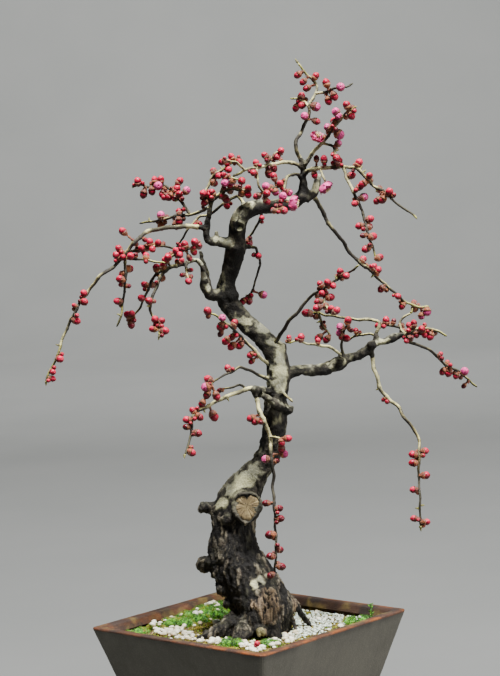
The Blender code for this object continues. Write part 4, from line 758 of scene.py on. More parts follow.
spray("spray_low_left", "limb_low", [
    Twig([(250, 388.4), (245.5, 390), (237, 392.7), (228, 396.3), (219, 399.8), (210.2, 405.2),
        (203.9, 408), (197.7, 411.5), (192.3, 417.4), (191.8, 430.5), (189.6, 438.6), (187.9, 447.5),
        (184.7, 454.6)], -80, (2.0, 0.8)),
    Twig([(244, 387), (239.6, 385), (232.5, 387), (223.6, 389)], -24, (1.1, 0.8))],
    buds=[(187, 419.8), (192.8, 410.6), (199.5, 417), (197.7, 433.2), (191.6, 452.6),
        (213.8, 416.3, 4.4)],
    leaves=[(184.4, 456.5), (206.6, 415.4), (229, 401.5)],
    dried=[(219.6, 390.5), (186.2, 427)])
spray("spray_trunk_front", "limb_low", [
    Twig([(255.5, 393), (257.5, 403), (260.2, 412.7), (264.6, 422.5), (268.2, 430.5), (270, 437.7),
        (270.9, 446), (271.3, 460), (273.7, 474), (272.7, 486), (273.7, 497), (274.7, 511.4),
        (275.2, 526.7), (276.2, 542), (275.7, 557.3), (274.7, 572.7)], -62, (1.9, 0.8)),
    Twig([(270.9, 436), (276.3, 437.7), (280.8, 438.6)], -46, (1.1, 0.8))],
    buds=[(250.8, 418.4), (255.5, 421.8), (281.7, 443), (287.9, 438.5), (281.6, 449), (266, 503.2),
        (279.3, 508.4), (280.3, 518.6), (270.1, 535, 4.2), (279.8, 549.7), (270.5, 556.3), (281.3, 566.6),
        (270.6, 575.6)],
    pink=[(284.5, 454), (265.4, 459.2)],
    dried=[(277, 461)])
spray("spray_trunk_light", "trunk", [
    Twig([(279, 388), (284, 393.5), (288.5, 398), (292.5, 402)], -30, (1.4, 0.9), sway=1)])
# each cushion: its middle on the soil as it lies in space (x, y), its half width and how
# far it stands above the gravel
MOSS = {
    "moss_left": [
        (-96, 24, 10, 4), (-80, 40, 11, 5), (-64, 56, 12.5, 7), (-48, 72, 13.5, 8), (-33, 88, 13.5, 9),
        (-19, 104, 12, 7), (-18, 84, 13, 8), (-34, 64, 13, 8), (-52, 48, 12, 6), (-66, 34, 10, 5),
    ],
    "moss_corner": [(-121, -4, 8, 3), (-110, 8, 8.5, 3.5)],
    "moss_front": [(-22, -59, 7.5, 5), (-12, -62, 6.5, 4)],
    "moss_front_right": [(17, -69, 6.5, 4), (25, -66, 5.5, 3)],
    "moss_right": [(101, 6, 8, 6), (112, 6, 8, 6), (122, 7, 6.5, 5)],
}
SPRIG = [(121, 6, 119, 1.0), (122, 7, 127, 0.9), (122.5, 7, 133, 0.8), (121.5, 6.5, 138, 0.7)]
FALLEN_BUD = (256.7, 645.0)


# Bark and bare wood

VOXEL = 1.12  # the wood's stems are fused at this grain
BARK_CRACK = 4.6  # distance between the furrows of the old bark
# heights between which the bark turns old, its relief grows to the full and, going up, the
# pale lichen and the painted highlight on faces that look up thicken
OLD_BARK = (292, 232)
FULL_RELIEF = (590, 300)
THICK_CRUST_AND_HIGHLIGHT = (380, 470)
CALLUS_RING = (13.0, 19.0)  # how far the callus of the large cut reaches from its middle
# where the three noises that shift a pattern start
SHIFT_STARTS = ((0, 0, 0), (31.7, 5.3, 12.9), (8.1, 47.2, 23.6))
WOUND_AXIS = (EYE - at_depth(*WOUND_CENTRE, -8)).normalized() + Vector((-0.12, 0, 0.08))
WOUND_AXIS.normalize()
WOUND_SEAT = at_depth(*WOUND_CENTRE, -8)
# pale lichen crusts and painted highlights as they lie on the board: (across, down, radius in mm)
PALE_CRUSTS_AND_HIGHLIGHTS = [
    (244, 480, 12), (232, 490, 9), (220, 503, 7), (254, 470, 9), (255, 585, 5), (261, 580, 5),
    (266, 576, 3.5), (280, 371, 9.5), (281, 384, 8.5), (281, 359, 7.5), (268.5, 382, 4), (272, 369, 4),
    (270, 402, 3), (239.4, 230, 3.4), (229, 243, 6), (223, 241, 5), (216, 240, 4), (233, 214, 8),
    (226, 222, 5), (250, 204, 5), (221, 262, 4), (243, 306, 6), (252, 315, 7), (263, 327, 8),
    (242, 321, 4.5), (248, 322, 4), (272, 342, 6), (281, 347, 5), (201, 262, 4), (205, 276, 4),
    (208, 288, 5), (318, 174, 6), (314, 186, 6), (345, 362, 4), (364, 344, 5), (382, 342, 6),
    (391, 331, 5), (203, 300, 6), (196, 290, 4),
]
# bark painted black where it lies in shadow, as painted shade: (across, down, radius in mm)
SHADED_BARK_SPOTS = [
    (238, 255, 9), (236, 275, 9), (232, 292, 8), (226, 299, 7), (232, 309, 7), (245, 234, 6),
    (250, 337, 7), (259, 347, 7), (267, 358, 6), (268, 368, 4), (256, 213, 7), (268, 209, 8),
    (281, 206, 8), (300, 190, 8), (303, 201, 6), (301, 176, 5), (208, 206, 8), (208, 222, 8),
    (209, 234, 6), (374, 345, 4), (394, 340, 5), (364, 357, 5), (384, 350, 4), (345, 371, 5),
    (325, 372, 5), (240, 492, 5), (262, 420, 9), (278, 430, 8), (262, 440, 8), (285, 345, 3),
]
EYE_KNOT = at_depth(239, 226, -12)  # the knot with a pale lower lid on the upper trunk
# more lumps of scar wood than the part has: (across, down, back, radius)
SMALL_BURLS = [
    (270, 392, -8, 6), (340, 362, 2, 6), (372, 345, 10, 5), (394, 337, 16, 4.5), (302, 198, 2, 6),
    (280, 350, -6, 5), (216, 574, -8, 6), (228, 604, -18, 6),
]
# the flare that joins the left roots at the foot: (across, down, back, radius)
FLARE = [(248, 612, -14, 14), (234, 625, -20, 12), (220, 633, -24, 9), (206, 638, -27, 6.5)]
FLARE.append((194, 642, -29, 3.5))
# where the old wood is bare of bark, warm and fibrous
BARE_PLACES = [(270, 596, -38, 12), (270, 612, -38, 13), (258, 604, -40, 8), (291, 605, -10, 9)]
BARE_WOOD = [(at_depth(a, d, b), r) for a, d, b, r in BARE_PLACES]
CUT_ROOT = at_depth(260.5, 632.5, -50)


def heart_shaped(turn, _):
    """The outline of the large cut: notched above and drawn out below."""
    notch = math.exp(-(((turn - math.pi / 2) / 0.4) ** 2))
    tip = math.exp(-(((turn + math.pi / 2) / 0.45) ** 2))
    return 0.98 - 0.15 * notch + 0.22 * tip


def wood_stems():
    """Trunk, limbs, roots, burls and twig collars, each closed and standing in the next."""
    meshes = []
    points, radii = curve_through(*in_space(TRUNK), 4.0)
    meshes.append(take_mesh(stem(points, radii, 36, fluted), "trunk"))
    for route in [*ROOTS.values(), FLARE]:
        points, radii = curve_through(*in_space(route), 3.0)
        meshes.append(take_mesh(stem(points, radii, 18, fluted), "root"))
    for route in LIMBS.values():
        points, radii = curve_through(*in_space(route), 2.5)
        meshes.append(take_mesh(stem(points, radii, 14), "limb"))
    for across, down, back, radius in BURLS + SMALL_BURLS:
        bm = bmesh.new()
        bmesh.ops.create_icosphere(bm, subdivisions=3, radius=radius * 0.9)
        bmesh.ops.translate(bm, verts=bm.verts, vec=at_depth(across, down, back))
        meshes.append(take_mesh(bm, "burl"))
    profile = [(0, 13), (12, 15.4), (16.6, 15.4), (18, 14.2), (17.2, 12.9), (15.6, 12.4)]
    callus = upright(profile, 36, heart_shaped)
    bmesh.ops.transform(callus, verts=callus.verts, matrix=pointing(WOUND_SEAT / MM, WOUND_AXIS, 1.0))
    meshes.append(take_mesh(callus, "callus"))
    for points, radii, host_radius in COLLARS:
        run = lengths_along(points)
        far = host_radius + 6.0
        kept_points = [p for p, s in zip(points, run) if s < far] + [along(points, run, far)[0]]
        spread = lengths_along(kept_points)
        wide = [radii[0] * (2.1 - 1.1 * s / spread[-1]) for s in spread]
        wide = [max(min(w, host_radius), radii[0]) for w in wide]
        meshes.append(take_mesh(stem(kept_points, wide, 10), "collar"))
    return meshes


def places_on(tree, spots):
    """The spots' middles, where their sight lines meet the bark."""
    places = []
    for across, down, radius in spots:
        hit = tree.ray_cast(EYE * MM, sight(across, down).normalized())[0]
        if hit is not None:
            places.append((hit / MM, radius))
    return places


def nearness(point, places):
    """1 within any of the places, 0 well outside them, with ragged borders."""
    best = 0.0
    for centre, radius in places:
        far = (point - centre).length
        if far < 1.6 * radius:
            far += 3.5 * noise.noise(point / 5)
            best = max(best, 1 - smooth_part(far, 0.7 * radius, 1.15 * radius))
    return best


def shift_at(point):
    """A smooth sideways shift for each point, the same in every run."""
    return Vector([noise.noise(point + Vector(start)) for start in SHIFT_STARTS])


def bark_height(point, old, bare):
    """How far the bark stands out at a point, and how deep in a furrow it lies, 0 to 1.
    Old bark is scaly, and stringy where it has come away."""
    lumps = noise.fractal(Vector((point.x, point.y, point.z * 0.6)) / 13, 1.0, 2.0, 4)
    bent = point + 4.0 * shift_at(point / 17) + 1.5 * shift_at(point / 5)
    tall = Vector((bent.x, bent.y, bent.z * 0.17)) / BARK_CRACK
    (near, far), cells = noise.voronoi(tall)[0][:2], noise.voronoi(tall)[1]
    plate = noise.cell(cells[0] * 7.3)
    furrow = 1 - smooth_part(far - near, 0.0, 0.24)
    drift = point + 3.0 * shift_at(point / 22)
    fibres = Vector((drift.x, drift.y, drift.z * 0.14)) / 2.8
    ridges = 1 - 2.4 * abs(noise.noise(fibres + Vector((7, 3, 1))))
    cords = 1 - 2.4 * abs(noise.noise(Vector((bent.x, bent.y, bent.z * 0.24)) / 6.5))
    grit = noise.noise(point / 1.8)
    small = noise.fractal(point / 6.5, 1.0, 2.0, 2)
    scaly = 1.2 * lumps + 1.1 * (plate - 0.5) * (1 - furrow) - 0.9 * furrow
    scaly += 1.3 * cords + 0.8 * ridges + 0.5 * grit - 0.8
    thread = Vector((point.x + 0.06 * point.z, point.y, point.z * 0.07)) / 2.1
    threads = 2.2 * noise.noise(thread) + 0.8 * noise.noise(2.3 * thread)
    stringy = 1.2 * threads + 0.6 * cords + 0.8 * lumps + 0.3 * grit - 0.3
    rough = scaly + (stringy - scaly) * bare
    plain = 1.3 * small + 0.9 * lumps + 0.3 * grit
    sunk = 0.65 * furrow + 0.6 * smooth_part(0.4 - plate, 0.0, 0.3)
    sunk += 0.5 * smooth_part(-lumps, 0.0, 0.5)
    sunk += (smooth_part(-threads, 0.1, 0.8) - sunk) * bare
    depth = old * sunk + (1 - old) * smooth_part(-small, 0.02, 0.4) * 0.7
    # painted highlight: the raised cords and ridges are painted paler
    light = smooth_part(cords + 0.5 * ridges + 0.4 * grit + 0.5 * (plate - 0.5), 0.45, 1.5)
    return plain + (rough - plain) * old, min(depth, 1.0), light * (1 - furrow)


def build_bark():
    """The fused wood with its relief, and what its finish reads at each point."""
    stems = joined(wood_stems(), "bark")
    mesh = applied(stems, "REMESH", mode="VOXEL", voxel_size=VOXEL * MM, use_smooth_shade=True)
    fused = applied(mesh, "SMOOTH", factor=0.6, iterations=3)
    places = points_of(fused)
    tree = BVHTree.FromPolygons(
        [vert.co for vert in fused.vertices], [face.vertices[:] for face in fused.polygons]
    )
    crust_and_highlight_places = places_on(tree, PALE_CRUSTS_AND_HIGHLIGHTS)
    shaded_bark_places = places_on(tree, SHADED_BARK_SPOTS)
    moved = np.empty_like(places)
    rows = []
    for i, vert in enumerate(fused.vertices):
        point = Vector(places[i])
        normal = vert.normal
        old = smooth_part(point.z, *OLD_BARK)
        from_wound = (point - WOUND_SEAT).cross(WOUND_AXIS).length
        beside = (point - WOUND_SEAT).dot(WOUND_AXIS)
        if beside > 8:
            old *= smooth_part(from_wound, *CALLUS_RING)
        bare = nearness(point, BARE_WOOD)
        height, depth, light = bark_height(point, old, bare)
        crust_and_highlight = nearness(point, crust_and_highlight_places)
        # painted shade on those spots, kept off the pale crusts
        black = nearness(point, shaded_bark_places) * (1 - crust_and_highlight)
        drawn = Vector((point.x, point.y, point.z * 0.35)) / 9 + Vector((2, 5, 9))
        streak = smooth_part(noise.fractal(drawn, 1.0, 2.0, 2), 0.1, 0.4)
        calm = 1 - 0.7 * crust_and_highlight
        full = smooth_part(point.z, *FULL_RELIEF)
        height *= calm * (0.55 + 0.45 * full)
        knot = (point - EYE_KNOT).length
        if knot < 7:  # a raised ring round a sunk eye
            height += 2.2 * math.exp(-((knot - 4.2) ** 2) / 1.6) - 3.2 * math.exp(-(knot**2) / 5)
            # painted shade: the sunk eye and the foot of its ring are painted dark
            depth = max(depth, 1.4 * math.exp(-(knot**2) / 9))
            depth = max(depth, 1.2 * math.exp(-((knot - 5.0) ** 2) / 1.4))
        moved[i] = point + normal * height
        # painted highlight: faces that look up are painted pale, partly lichen and partly the light that
        # falls on them, more strongly higher up
        upward = smooth_part(normal.z + 0.3 * noise.noise(point / 7), 0.4, 0.8)
        sawn = 1.6 * (1 - smooth_part((point - CUT_ROOT).length, 4.5, 6.5))
        # painted shade: furrows, hollows, the knot's eye and the shaded spots are painted nearly black
        painted_deep_shade = max(depth * calm, 0.62 * black)
        high_up = smooth_part(point.z, *THICK_CRUST_AND_HIGHLIGHT)
        ragged = 0.3 + 0.7 * smooth_part(noise.noise(point / 8 + Vector((6, 1, 2))), -0.05, 0.25)
        shown = max(upward * ragged * (0.5 + 0.25 * high_up), 0.3 * streak * (1 - upward))
        if beside > 8 and from_wound < CALLUS_RING[1]:
            crust_and_highlight *= 0.3
            shown *= 0.4
        crust_and_highlight = max(crust_and_highlight, shown * (1 - 0.9 * old) * (1 - black))
        green = 0.5 + noise.noise(point / 16 + Vector((3, 8, 5)))
        rows.append((old, max(bare, sawn), painted_deep_shade, crust_and_highlight, green, light))
    fused.vertices.foreach_set("co", (moved * MM).ravel())
    fused.update()
    for name, values in zip(("old", "bare", "painted_deep_shade", "crust_and_highlight", "green", "light"), zip(*rows)):
        write_values(fused, name, values)
    for face in fused.polygons:
        face.use_smooth = True
    return fused


def bark_finish():
    """Old apricot bark: matt and brown on its plates, with grey-green lichen. Painted shade makes
    it nearly black in its furrows, on shaded spots and where young bark faces down; a painted
    highlight pales its raised ridges, and faces that look up are painted pale, partly as lichen
    and partly as painted highlight."""
    sockets = {"Roughness": 0.88, "IOR": 1.45, "Specular IOR Level": 0.3}
    finish = Finish("apricot_bark", sockets)
    old = finish.kept("old")
    young = finish.kept("old", 1.0, 0.0)
    bare = finish.kept("bare", 0.1, 1.0)
    sawn = finish.kept("bare", 1.1, 1.5)
    painted_deep_shade = finish.kept("painted_deep_shade", 0.05, 0.75)
    crust_and_highlight = finish.kept("crust_and_highlight")
    green = finish.kept("green", 0.3, 0.8)
    light = finish.kept("light")
    blotch = finish.patches(14, 0.42, 0.62)
    fleck = finish.patches(2.6, 0.5, 0.68)
    speck = finish.patches(1.3, 0.56, 0.66)
    warm = finish.patches(9, 0.5, 0.64)
    drawn = finish.node("ShaderNodeMapping", {"Vector": finish.where, "Scale": (1.0, 1.0, 0.14)})
    strings = finish.patches(2.6, 0.4, 0.62, where=drawn)
    scabby = finish.patches(4.5, 0.38, 0.56, 5.0)
    whole = finish.kept("crust_and_highlight", 0.55, 1.0, 0.0, 0.8)
    scabs = finish.node("ShaderNodeMath", {0: crust_and_highlight, 1: scabby}, operation="MULTIPLY")
    pale = finish.node("ShaderNodeMath", {0: scabs, 1: whole}, operation="MAXIMUM")
    # painted shade: young bark that faces down is painted near black
    under = finish.facing_up(0.1, -0.5)
    grain = finish.patches(1.6, 0.2, 0.8, 6.0)
    return finish.done(
        "#1F1C17",
        ("#2C2B22", young, 0.6),
        ("#3A352D", blotch, 0.6),
        ("#4E4036", old, warm, 0.4),
        # painted highlight on the raised ridges of old bark
        ("#7A715E", old, light, 0.75),
        ("#5A5548", fleck, 0.35),
        ("#54463A", bare, 0.6),
        ("#957E60", bare, strings, 0.6),
        ("#8E8674", old, speck, 0.35),
        # painted shade, nearly black in furrows, hollows and shaded spots
        ("#0B0908", painted_deep_shade, 0.95),
        ("#8C8560", sawn, 0.9),
        # pale lichen, painted paler where the painted highlight falls
        ("#A2A188", pale, 0.88),
        ("#DAD6A4", pale, green, 0.75),
        ("#45433A", pale, speck, 0.5),
        ("#918C4A", pale, fleck, 0.35),
        # painted shade underneath the young bark
        ("#0D0B09", young, under, 0.8),
        relief=grain, depth=0.9, strength=0.8,
    )


def build_wound():
    """The face of the large pruning cut: checked, weathered heartwood in its callus."""
    rings = [(15.2, 13.1), (16.5, 12.9), (16.7, 9.5), (16.5, 5.5), (16.3, 1.4)]
    bm = upright(rings, 48, heart_shaped)
    for vert in bm.verts:
        turn = math.atan2(vert.co.y, vert.co.x)
        away = math.hypot(vert.co.x, vert.co.y)
        check = abs(noise.noise(Vector((math.cos(turn) * 2.6, math.sin(turn) * 2.6, 4))))
        if away > 2:
            vert.co.z -= 0.9 * (1 - smooth_part(check, 0.0, 0.16))
    matrix = pointing(WOUND_SEAT / MM, WOUND_AXIS, 1.0)
    bmesh.ops.transform(bm, verts=bm.verts, matrix=matrix)
    return take_mesh(bm, "wound")


def heartwood_finish():
    """Grey, weathered wood of an old cut: rays run out from the pith and have opened."""
    sockets = {"Roughness": 0.8, "IOR": 1.5, "Specular IOR Level": 0.3}
    finish = Finish("weathered_heartwood", sockets)
    turn = WOUND_AXIS.to_track_quat("Z", "Y").to_matrix().to_4x4()
    centre = -(turn.inverted() @ (WOUND_SEAT * MM))
    inputs = {"Vector": finish.where, "Location": centre, "Rotation": turn.inverted().to_euler()}
    flat = finish.node("ShaderNodeMapping", inputs)
    around = finish.node("ShaderNodeTexGradient", {"Vector": flat}, 1, gradient_type="RADIAL")
    ray = finish.node("ShaderNodeCombineXYZ", {0: around})
    streaks = finish.patches(1000 / 34, 0.42, 0.6, 4.0, where=ray)
    stains = finish.patches(7, 0.45, 0.62)
    specks = finish.patches(1.4, 0.54, 0.66)
    return finish.done(
        "#6E5E40",
        ("#4C3E2A", streaks, 0.4),
        ("#92825A", stains, 0.5),
        ("#3A3028", specks, 0.7),
        relief=streaks, depth=0.5,
    )


# Twigs, buds and flowers

PETALS = 5  # to a ring
STAMENS = 22
# sprays whose first twig is bleached from its root, and how far along
BLEACHED = {
    "spray_low_left": 0.5,
    "spray_trunk_front": 0.35,
    "spray_right_hanging": 0.3,
    "spray_left_long": 0.3,
    "spray_middle_low": 1.0,
    "spray_low_inner": 0.4,
}
# dark and pale stretches of the twigs as they lie on the board: (across, down, radius)
DARK_STRETCHES = [
    (140, 187, 14), (163, 188, 12), (176, 198, 12), (186, 209, 8), (140, 223, 5), (160, 228, 12),
    (138, 237, 10), (112, 266, 12), (186, 233, 12), (166, 247, 8), (124, 285, 22), (150, 282, 14),
    (158, 292, 12), (402, 208, 17), (366, 228, 28), (326, 215, 10), (340, 237, 14), (353, 255, 10),
    (330, 282, 24), (350, 270, 8), (303, 127, 8), (297, 141, 9), (335, 88, 13), (333, 147, 10),
    (285, 329, 12), (300, 310, 14), (312, 297, 8), (225, 374, 13), (250, 368, 13), (237, 385, 11),
    (191, 426, 13), (435, 360, 14), (452, 372, 12), (420, 345, 10), (395, 296, 12), (258, 262, 18),
    (252, 290, 8), (264, 222, 10), (254, 183, 5), (108, 276, 8), (82, 318, 10), (398, 400, 6),
    (410, 420, 6), (424, 500, 26), (187, 446, 12), (307, 200, 3),
]
PALE_STRETCHES = [
    (195, 225.5, 11), (270, 163, 24), (318, 149, 14), (320, 168, 13), (345, 168, 8), (349, 183, 13),
    (311, 196, 6), (312, 95, 15), (304, 73, 9), (302, 158, 6), (340, 121, 9), (352, 110, 8),
    (246, 166, 12), (269, 348, 7), (410, 305, 8), (373, 320, 14), (378, 365, 22), (386, 395, 12),
]
# sprays whose buds stand in dense clusters
CROWDED = ("spray_left_crown", "spray_top_left", "spray_top_down", "spray_top_right")
COLLARS = []  # (points, radii, host radius) of each spray's first twig


class Growth:
    """What grows on the sprays: routes of the twigs, and a matrix for each small shape."""

    def __init__(self):
        self.twigs = []
        self.owners = []
        self.places = {kind: [] for kind in ("bud", "cup", "stalk", "leaf", "scale", "flower")}
        self.tones = []
        self.nodes = []


def spot_radius(host, point):
    """The host's radius where the twig is rooted."""
    points, radii = host
    index = min(range(len(points)), key=lambda k: (points[k] - point).length)
    return radii[index]


def grow(name, growth, hosts):
    """Places one spray, with the same seeded draws as the part's source."""
    host, twigs, buds, pink, flowers, leaves, dried = SPRAYS[name]
    draw = random.Random(name)
    look = random.Random(name + " look")
    placed = []
    for number, twig in enumerate(twigs):
        twig.place([points for points, _ in placed] if number else [hosts[host][0]], draw)
        placed.append((twig.points, twig.radii))
        if number == 0:
            radius = spot_radius(hosts[host], twig.points[0])
            COLLARS.append((twig.points, twig.radii, radius))
    wanted = [(b, "bud", 3.5) for b in buds] + [(b, "pink", 4.0) for b in pink]
    wanted += [(b, "leaf", 1.4) for b in leaves] + [(b, "dried", 2.7) for b in dried]
    wanted += [(b, "flower", 7.0) for b in flowers]
    for place, kind, radius in wanted:
        radius = place[2] if len(place) > 2 else radius * draw.uniform(0.9, 1.1)
        away, root, thick = nearest_on(placed, place[0], place[1])
        closed = kind in ("bud", "pink", "dried")
        size = radius if closed else 0.5 * radius if kind == "flower" else 1.0
        stand = thick + 0.85 * size
        offset = math.sqrt(max(stand * stand - away * away, 0.0))
        offset += draw.uniform(0.0, 1.5)
        back = root.y + offset * draw.choice((-1, -1, 1))
        centre = at_depth(place[0], place[1], back)
        if kind == "flower":
            draw.uniform(0, 1)  # the part's source draws once more for a flower
        axis = (centre - root).normalized()
        spin = look.uniform(0, 2 * math.pi)
        growth.nodes.append(root)
        if kind == "leaf":
            growth.places["leaf"].append(pointing(root, axis, radius, spin))
            continue
        for _ in range(look.choice((3, 3, 4, 4, 5))):
            aside = axis + Vector([look.uniform(-0.9, 0.9) for _ in range(3)])
            scale = look.uniform(0.8, 1.35)
            growth.places["scale"].append(pointing(root, aside.normalized(), scale, spin))
        stalk = pointing(root, axis, 1.0, spin)
        reach = (centre - root).length - 1.0 * size
        stalk = stalk @ Matrix.Diagonal((1.5, 1.5, max(reach, 1.2) + 0.5, 1.0))
        growth.places["stalk"].append(stalk)
        if kind in ("flower", "pink"):
            opened = 0.75 if kind == "flower" else look.choice((0.0, 0.0, 0.12, 0.3))
            growth.places["flower"].append((centre, axis, radius, spin, opened))
            growth.places["cup"].append(pointing(centre, axis, size * 1.02, spin))
            if name in CROWDED:
                grow_small(growth, placed, place, radius, look)
            continue
        longer = Matrix.Diagonal((0.97, 0.97, 1.12, 1.0))
        growth.places["bud"].append(pointing(centre, axis, radius * 1.05, spin) @ longer)
        growth.places["cup"].append(pointing(centre, axis, radius * 1.08, spin) @ longer)
        # dried buds are dull, and those below this spray's bend are painted dark as painted shade
        dull_and_shaded = kind == "dried" or name == "spray_trunk_front" and place[1] > 480
        growth.tones.append(-0.3 if dull_and_shaded else look.uniform(0.0, 0.45))
        for _ in range(0 if kind == "dried" else 2 if name in CROWDED else 1):
            grow_small(growth, placed, place, radius, look)
    growth.twigs.extend(placed)
    growth.owners.extend([name] + [""] * (len(placed) - 1))


def grow_small(growth, placed, place, radius, look):
    """A smaller bud from the same joint as its neighbour, if the twig runs near enough."""
    small = look.uniform(1.7, 2.5)
    for _ in range(8):
        turn = look.uniform(0, 2 * math.pi)
        apart = 0.9 * (radius + small)
        across = place[0] + apart * math.cos(turn)
        down = place[1] + apart * math.sin(turn)
        away, root, thick = nearest_on(placed, across, down)
        stand = thick + 1.2 * small
        if 0.4 * stand < away < stand:
            offset = math.sqrt(stand * stand - away * away) * look.choice((-1, 1))
            centre = at_depth(across, down, root.y + offset)
            axis = (centre - root).normalized()
            growth.places["bud"].append(pointing(centre, axis, small, turn))
            growth.places["cup"].append(pointing(centre, axis, 1.08 * small, turn))
            growth.tones.append(look.choice((-0.3, -0.1, 0.2)))
            return


def bud_shape():
    """A swelling bud of unit radius: petals wrapped round one another."""
    profile = [(-0.7, 0.5), (-0.3, 0.9), (0.12, 1.0), (0.5, 0.88), (0.84, 0.56), (1.04, 0.16)]

    def wrapped(turn, level):
        edge = (5 * turn / (2 * math.pi) + 0.22 * level) % 1.0
        return 1.0 + 0.15 * (edge - 0.5)

    return take_mesh(upright(profile, 10, wrapped), "bud_shape")


def cup_shape():
    """The calyx of a bud: a short cup with five rounded sepals."""
    profile = [(-1.25, 0.32), (-1.02, 0.6), (-0.66, 0.88), (-0.2, 1.04), (-0.34, 0.7)]
    bm = upright(profile, 10)
    for vert in bm.verts:
        if abs(vert.co.z + 0.2) < 0.01:
            vert.co.z += 0.3 * math.cos(5 * math.atan2(vert.co.y, vert.co.x))
    return take_mesh(bm, "cup_shape")


def stalk_shape():
    """The short stalk of a bud, ringed with the scales that enclosed it."""
    profile = [(0.0, 0.9), (0.3, 1.0), (0.36, 0.7), (0.66, 0.8), (0.72, 0.5), (1.0, 0.42)]
    return take_mesh(upright(profile, 6), "stalk_shape")


def leaf_bud_shape():
    profile = [(0.0, 0.9), (0.9, 1.0), (1.1, 0.8), (2.2, 0.66), (3.6, 0.12)]
    return take_mesh(upright(profile, 6), "leaf_bud_shape")


def petal_shape(opened):
    """One petal of a flower of unit radius. Closed, it wraps round the unit ball; open, it
    spreads along +X with a ruffled edge."""
    bm = bmesh.new()
    bmesh.ops.create_grid(bm, x_segments=4, y_segments=4, size=1.0)
    for vert in bm.verts:
        out = (vert.co.x + 1) / 2
        side = vert.co.y
        width = 0.3 + 0.7 * math.sin(math.pi * min(out, 0.97) ** 0.85) ** 0.6
        climb = math.radians(55 + 124 * out)
        turn = side * width * math.radians(48)
        wrapped = Vector(
            (math.sin(climb) * math.cos(turn), math.sin(climb) * math.sin(turn), -math.cos(climb))
        )
        rise = 0.42 * out - 0.12 * math.sin(math.pi * out) + 0.2 * side * side * out
        rise += 0.06 * math.sin(5 * side + 6 * out) * out
        spread = Vector((0.15 + 1.2 * out, 0.66 * side * width, rise - 0.55))
        vert.co = wrapped.lerp(spread, opened)
    bmesh.ops.solidify(bm, geom=bm.faces[:], thickness=0.05)
    return take_mesh(bm, "petal_shape")


def build_flowers(growth):
    """Petals and stamens of the opening flowers."""
    petals, stamens, tones = [], [], []
    look = random.Random(5)
    for centre, axis, size, spin, opened in growth.places["flower"]:
        if opened > 0.5:
            axis = (axis + Vector((0.9, -0.25, -0.1))).normalized()
            size *= 1.3
        seat = pointing(centre, axis, size, spin)
        for ring in range(2):
            for k in range(PETALS):
                turn = Matrix.Rotation(2 * math.pi * (k + 0.5 * ring) / PETALS, 4, "Z")
                spread = max(0.0, opened - 0.22 * ring) * look.uniform(0.8, 1.15)
                shape = petal_shape(min(spread, 1.0))
                shape.transform(seat @ turn @ Matrix.Scale(1.0 - 0.14 * ring, 4))
                tones += [0.45 + 0.5 * opened + look.uniform(-0.1, 0.1)] * len(shape.vertices)
                petals.append(shape)
        if opened < 0.5:
            continue
        for k in range(STAMENS):
            turn = 2.4 * k
            lean = 0.12 + 0.5 * (k % 5) / 5
            top = Vector((math.cos(turn) * lean, math.sin(turn) * lean, 0.5))
            filament = take_mesh(stem([Vector((0, 0, -0.2)), top * 0.6, top], [0.022] * 3, 3), "f")
            filament.transform(seat)
            stamens.append(filament)
            anther = bmesh.new()
            bmesh.ops.create_icosphere(anther, subdivisions=1, radius=0.05)
            bmesh.ops.translate(anther, verts=anther.verts, vec=top)
            anther = take_mesh(anther, "anther")
            anther.transform(seat)
            stamens.append(anther)
    mesh = joined(petals, "open_petals")
    write_values(mesh, "tone", tones)
    write_values(mesh, "crown", [0.5] * len(mesh.vertices))
    return mesh, joined(stamens, "stamens")


def stretch(point, spots):
    """1 where a twig's point lies well within any of the stretches, 0 outside them all."""
    across, down = on_board(point)
    best = 0.0
    for x, y, reach in spots:
        best = max(best, smooth_part(reach - math.hypot(across - x, down - y), 0.0, 4.0))
    return best


def build_twigs(growth):
    """The twigs as round stems with knots where buds sit and a slight bumpiness."""
    meshes, ages, dims, bleaches = [], [], [], []
    for number, (points, radii) in enumerate(growth.twigs):
        route, wide = curve_through(points, radii, 2.0)
        run = lengths_along(route)
        kinks = [2 * abs((s / 10 + 0.37 * number) % 2 - 1) - 1 for s in run]
        for k in range(1, len(route) - 1):
            aside = AHEAD.cross(route[k + 1] - route[k]).normalized()
            sway = 0.42 * kinks[k] * smooth_part(run[k], 3, 12)
            route[k] = route[k] + sway * aside
        knots = []
        for knot in growth.nodes:
            away, k = min(((p - knot).length, k) for k, p in enumerate(route))
            if away < 1.5:
                knots.append(run[k])
        swollen = []
        for s, radius, kink in zip(run, wide, kinks):
            bump = 0.1 * noise.noise(Vector((s / 5, number * 3.7, 1)))
            knot = sum(math.exp(-(((s - at) / 1.6) ** 2)) for at in knots)
            knot = min(knot + 0.7 * smooth_part(abs(kink), 0.75, 1.0), 1.0)
            swollen.append(radius * (0.96 + bump + 0.3 * knot))
        swollen[-1] *= 0.55
        mesh = take_mesh(stem(route, swollen, 8), "twig")
        thick = 1.0 if radii[0] > 1.3 * TWIG_GIRTH else 0.55
        reach = max(run[-1], 40.0)
        far = BLEACHED.get(growth.owners[number], 0.0) * run[-1]
        pale = [stretch(point, PALE_STRETCHES) for point in route]
        if growth.owners[number] == "spray_trunk_front":
            dim = [smooth_part(s / run[-1], 0.31, 0.36) for s in run]
        else:
            dim = [smooth_part(noise.noise(Vector((s / 26, number * 2.3, 4))), 0.1, 0.4) for s in run]
            dark = [stretch(point, DARK_STRETCHES) for point in route]
            dim = [max(d, e) * (1 - p) for d, e, p in zip(dim, dark, pale)]
        for vert in mesh.vertices:
            nearest = min(range(len(route)), key=lambda k: (route[k] * MM - vert.co).length)
            ages.append(thick * (1 - run[nearest] / reach))
            dims.append(dim[nearest])
            bleaches.append(max(1 - smooth_part(run[nearest], far - 6, far + 2), pale[nearest]))
        meshes.append(mesh)
    whole = joined(meshes, "twigs")
    write_values(whole, "age", ages)
    write_values(whole, "dim", dims)
    write_values(whole, "bleach", bleaches)
    return whole


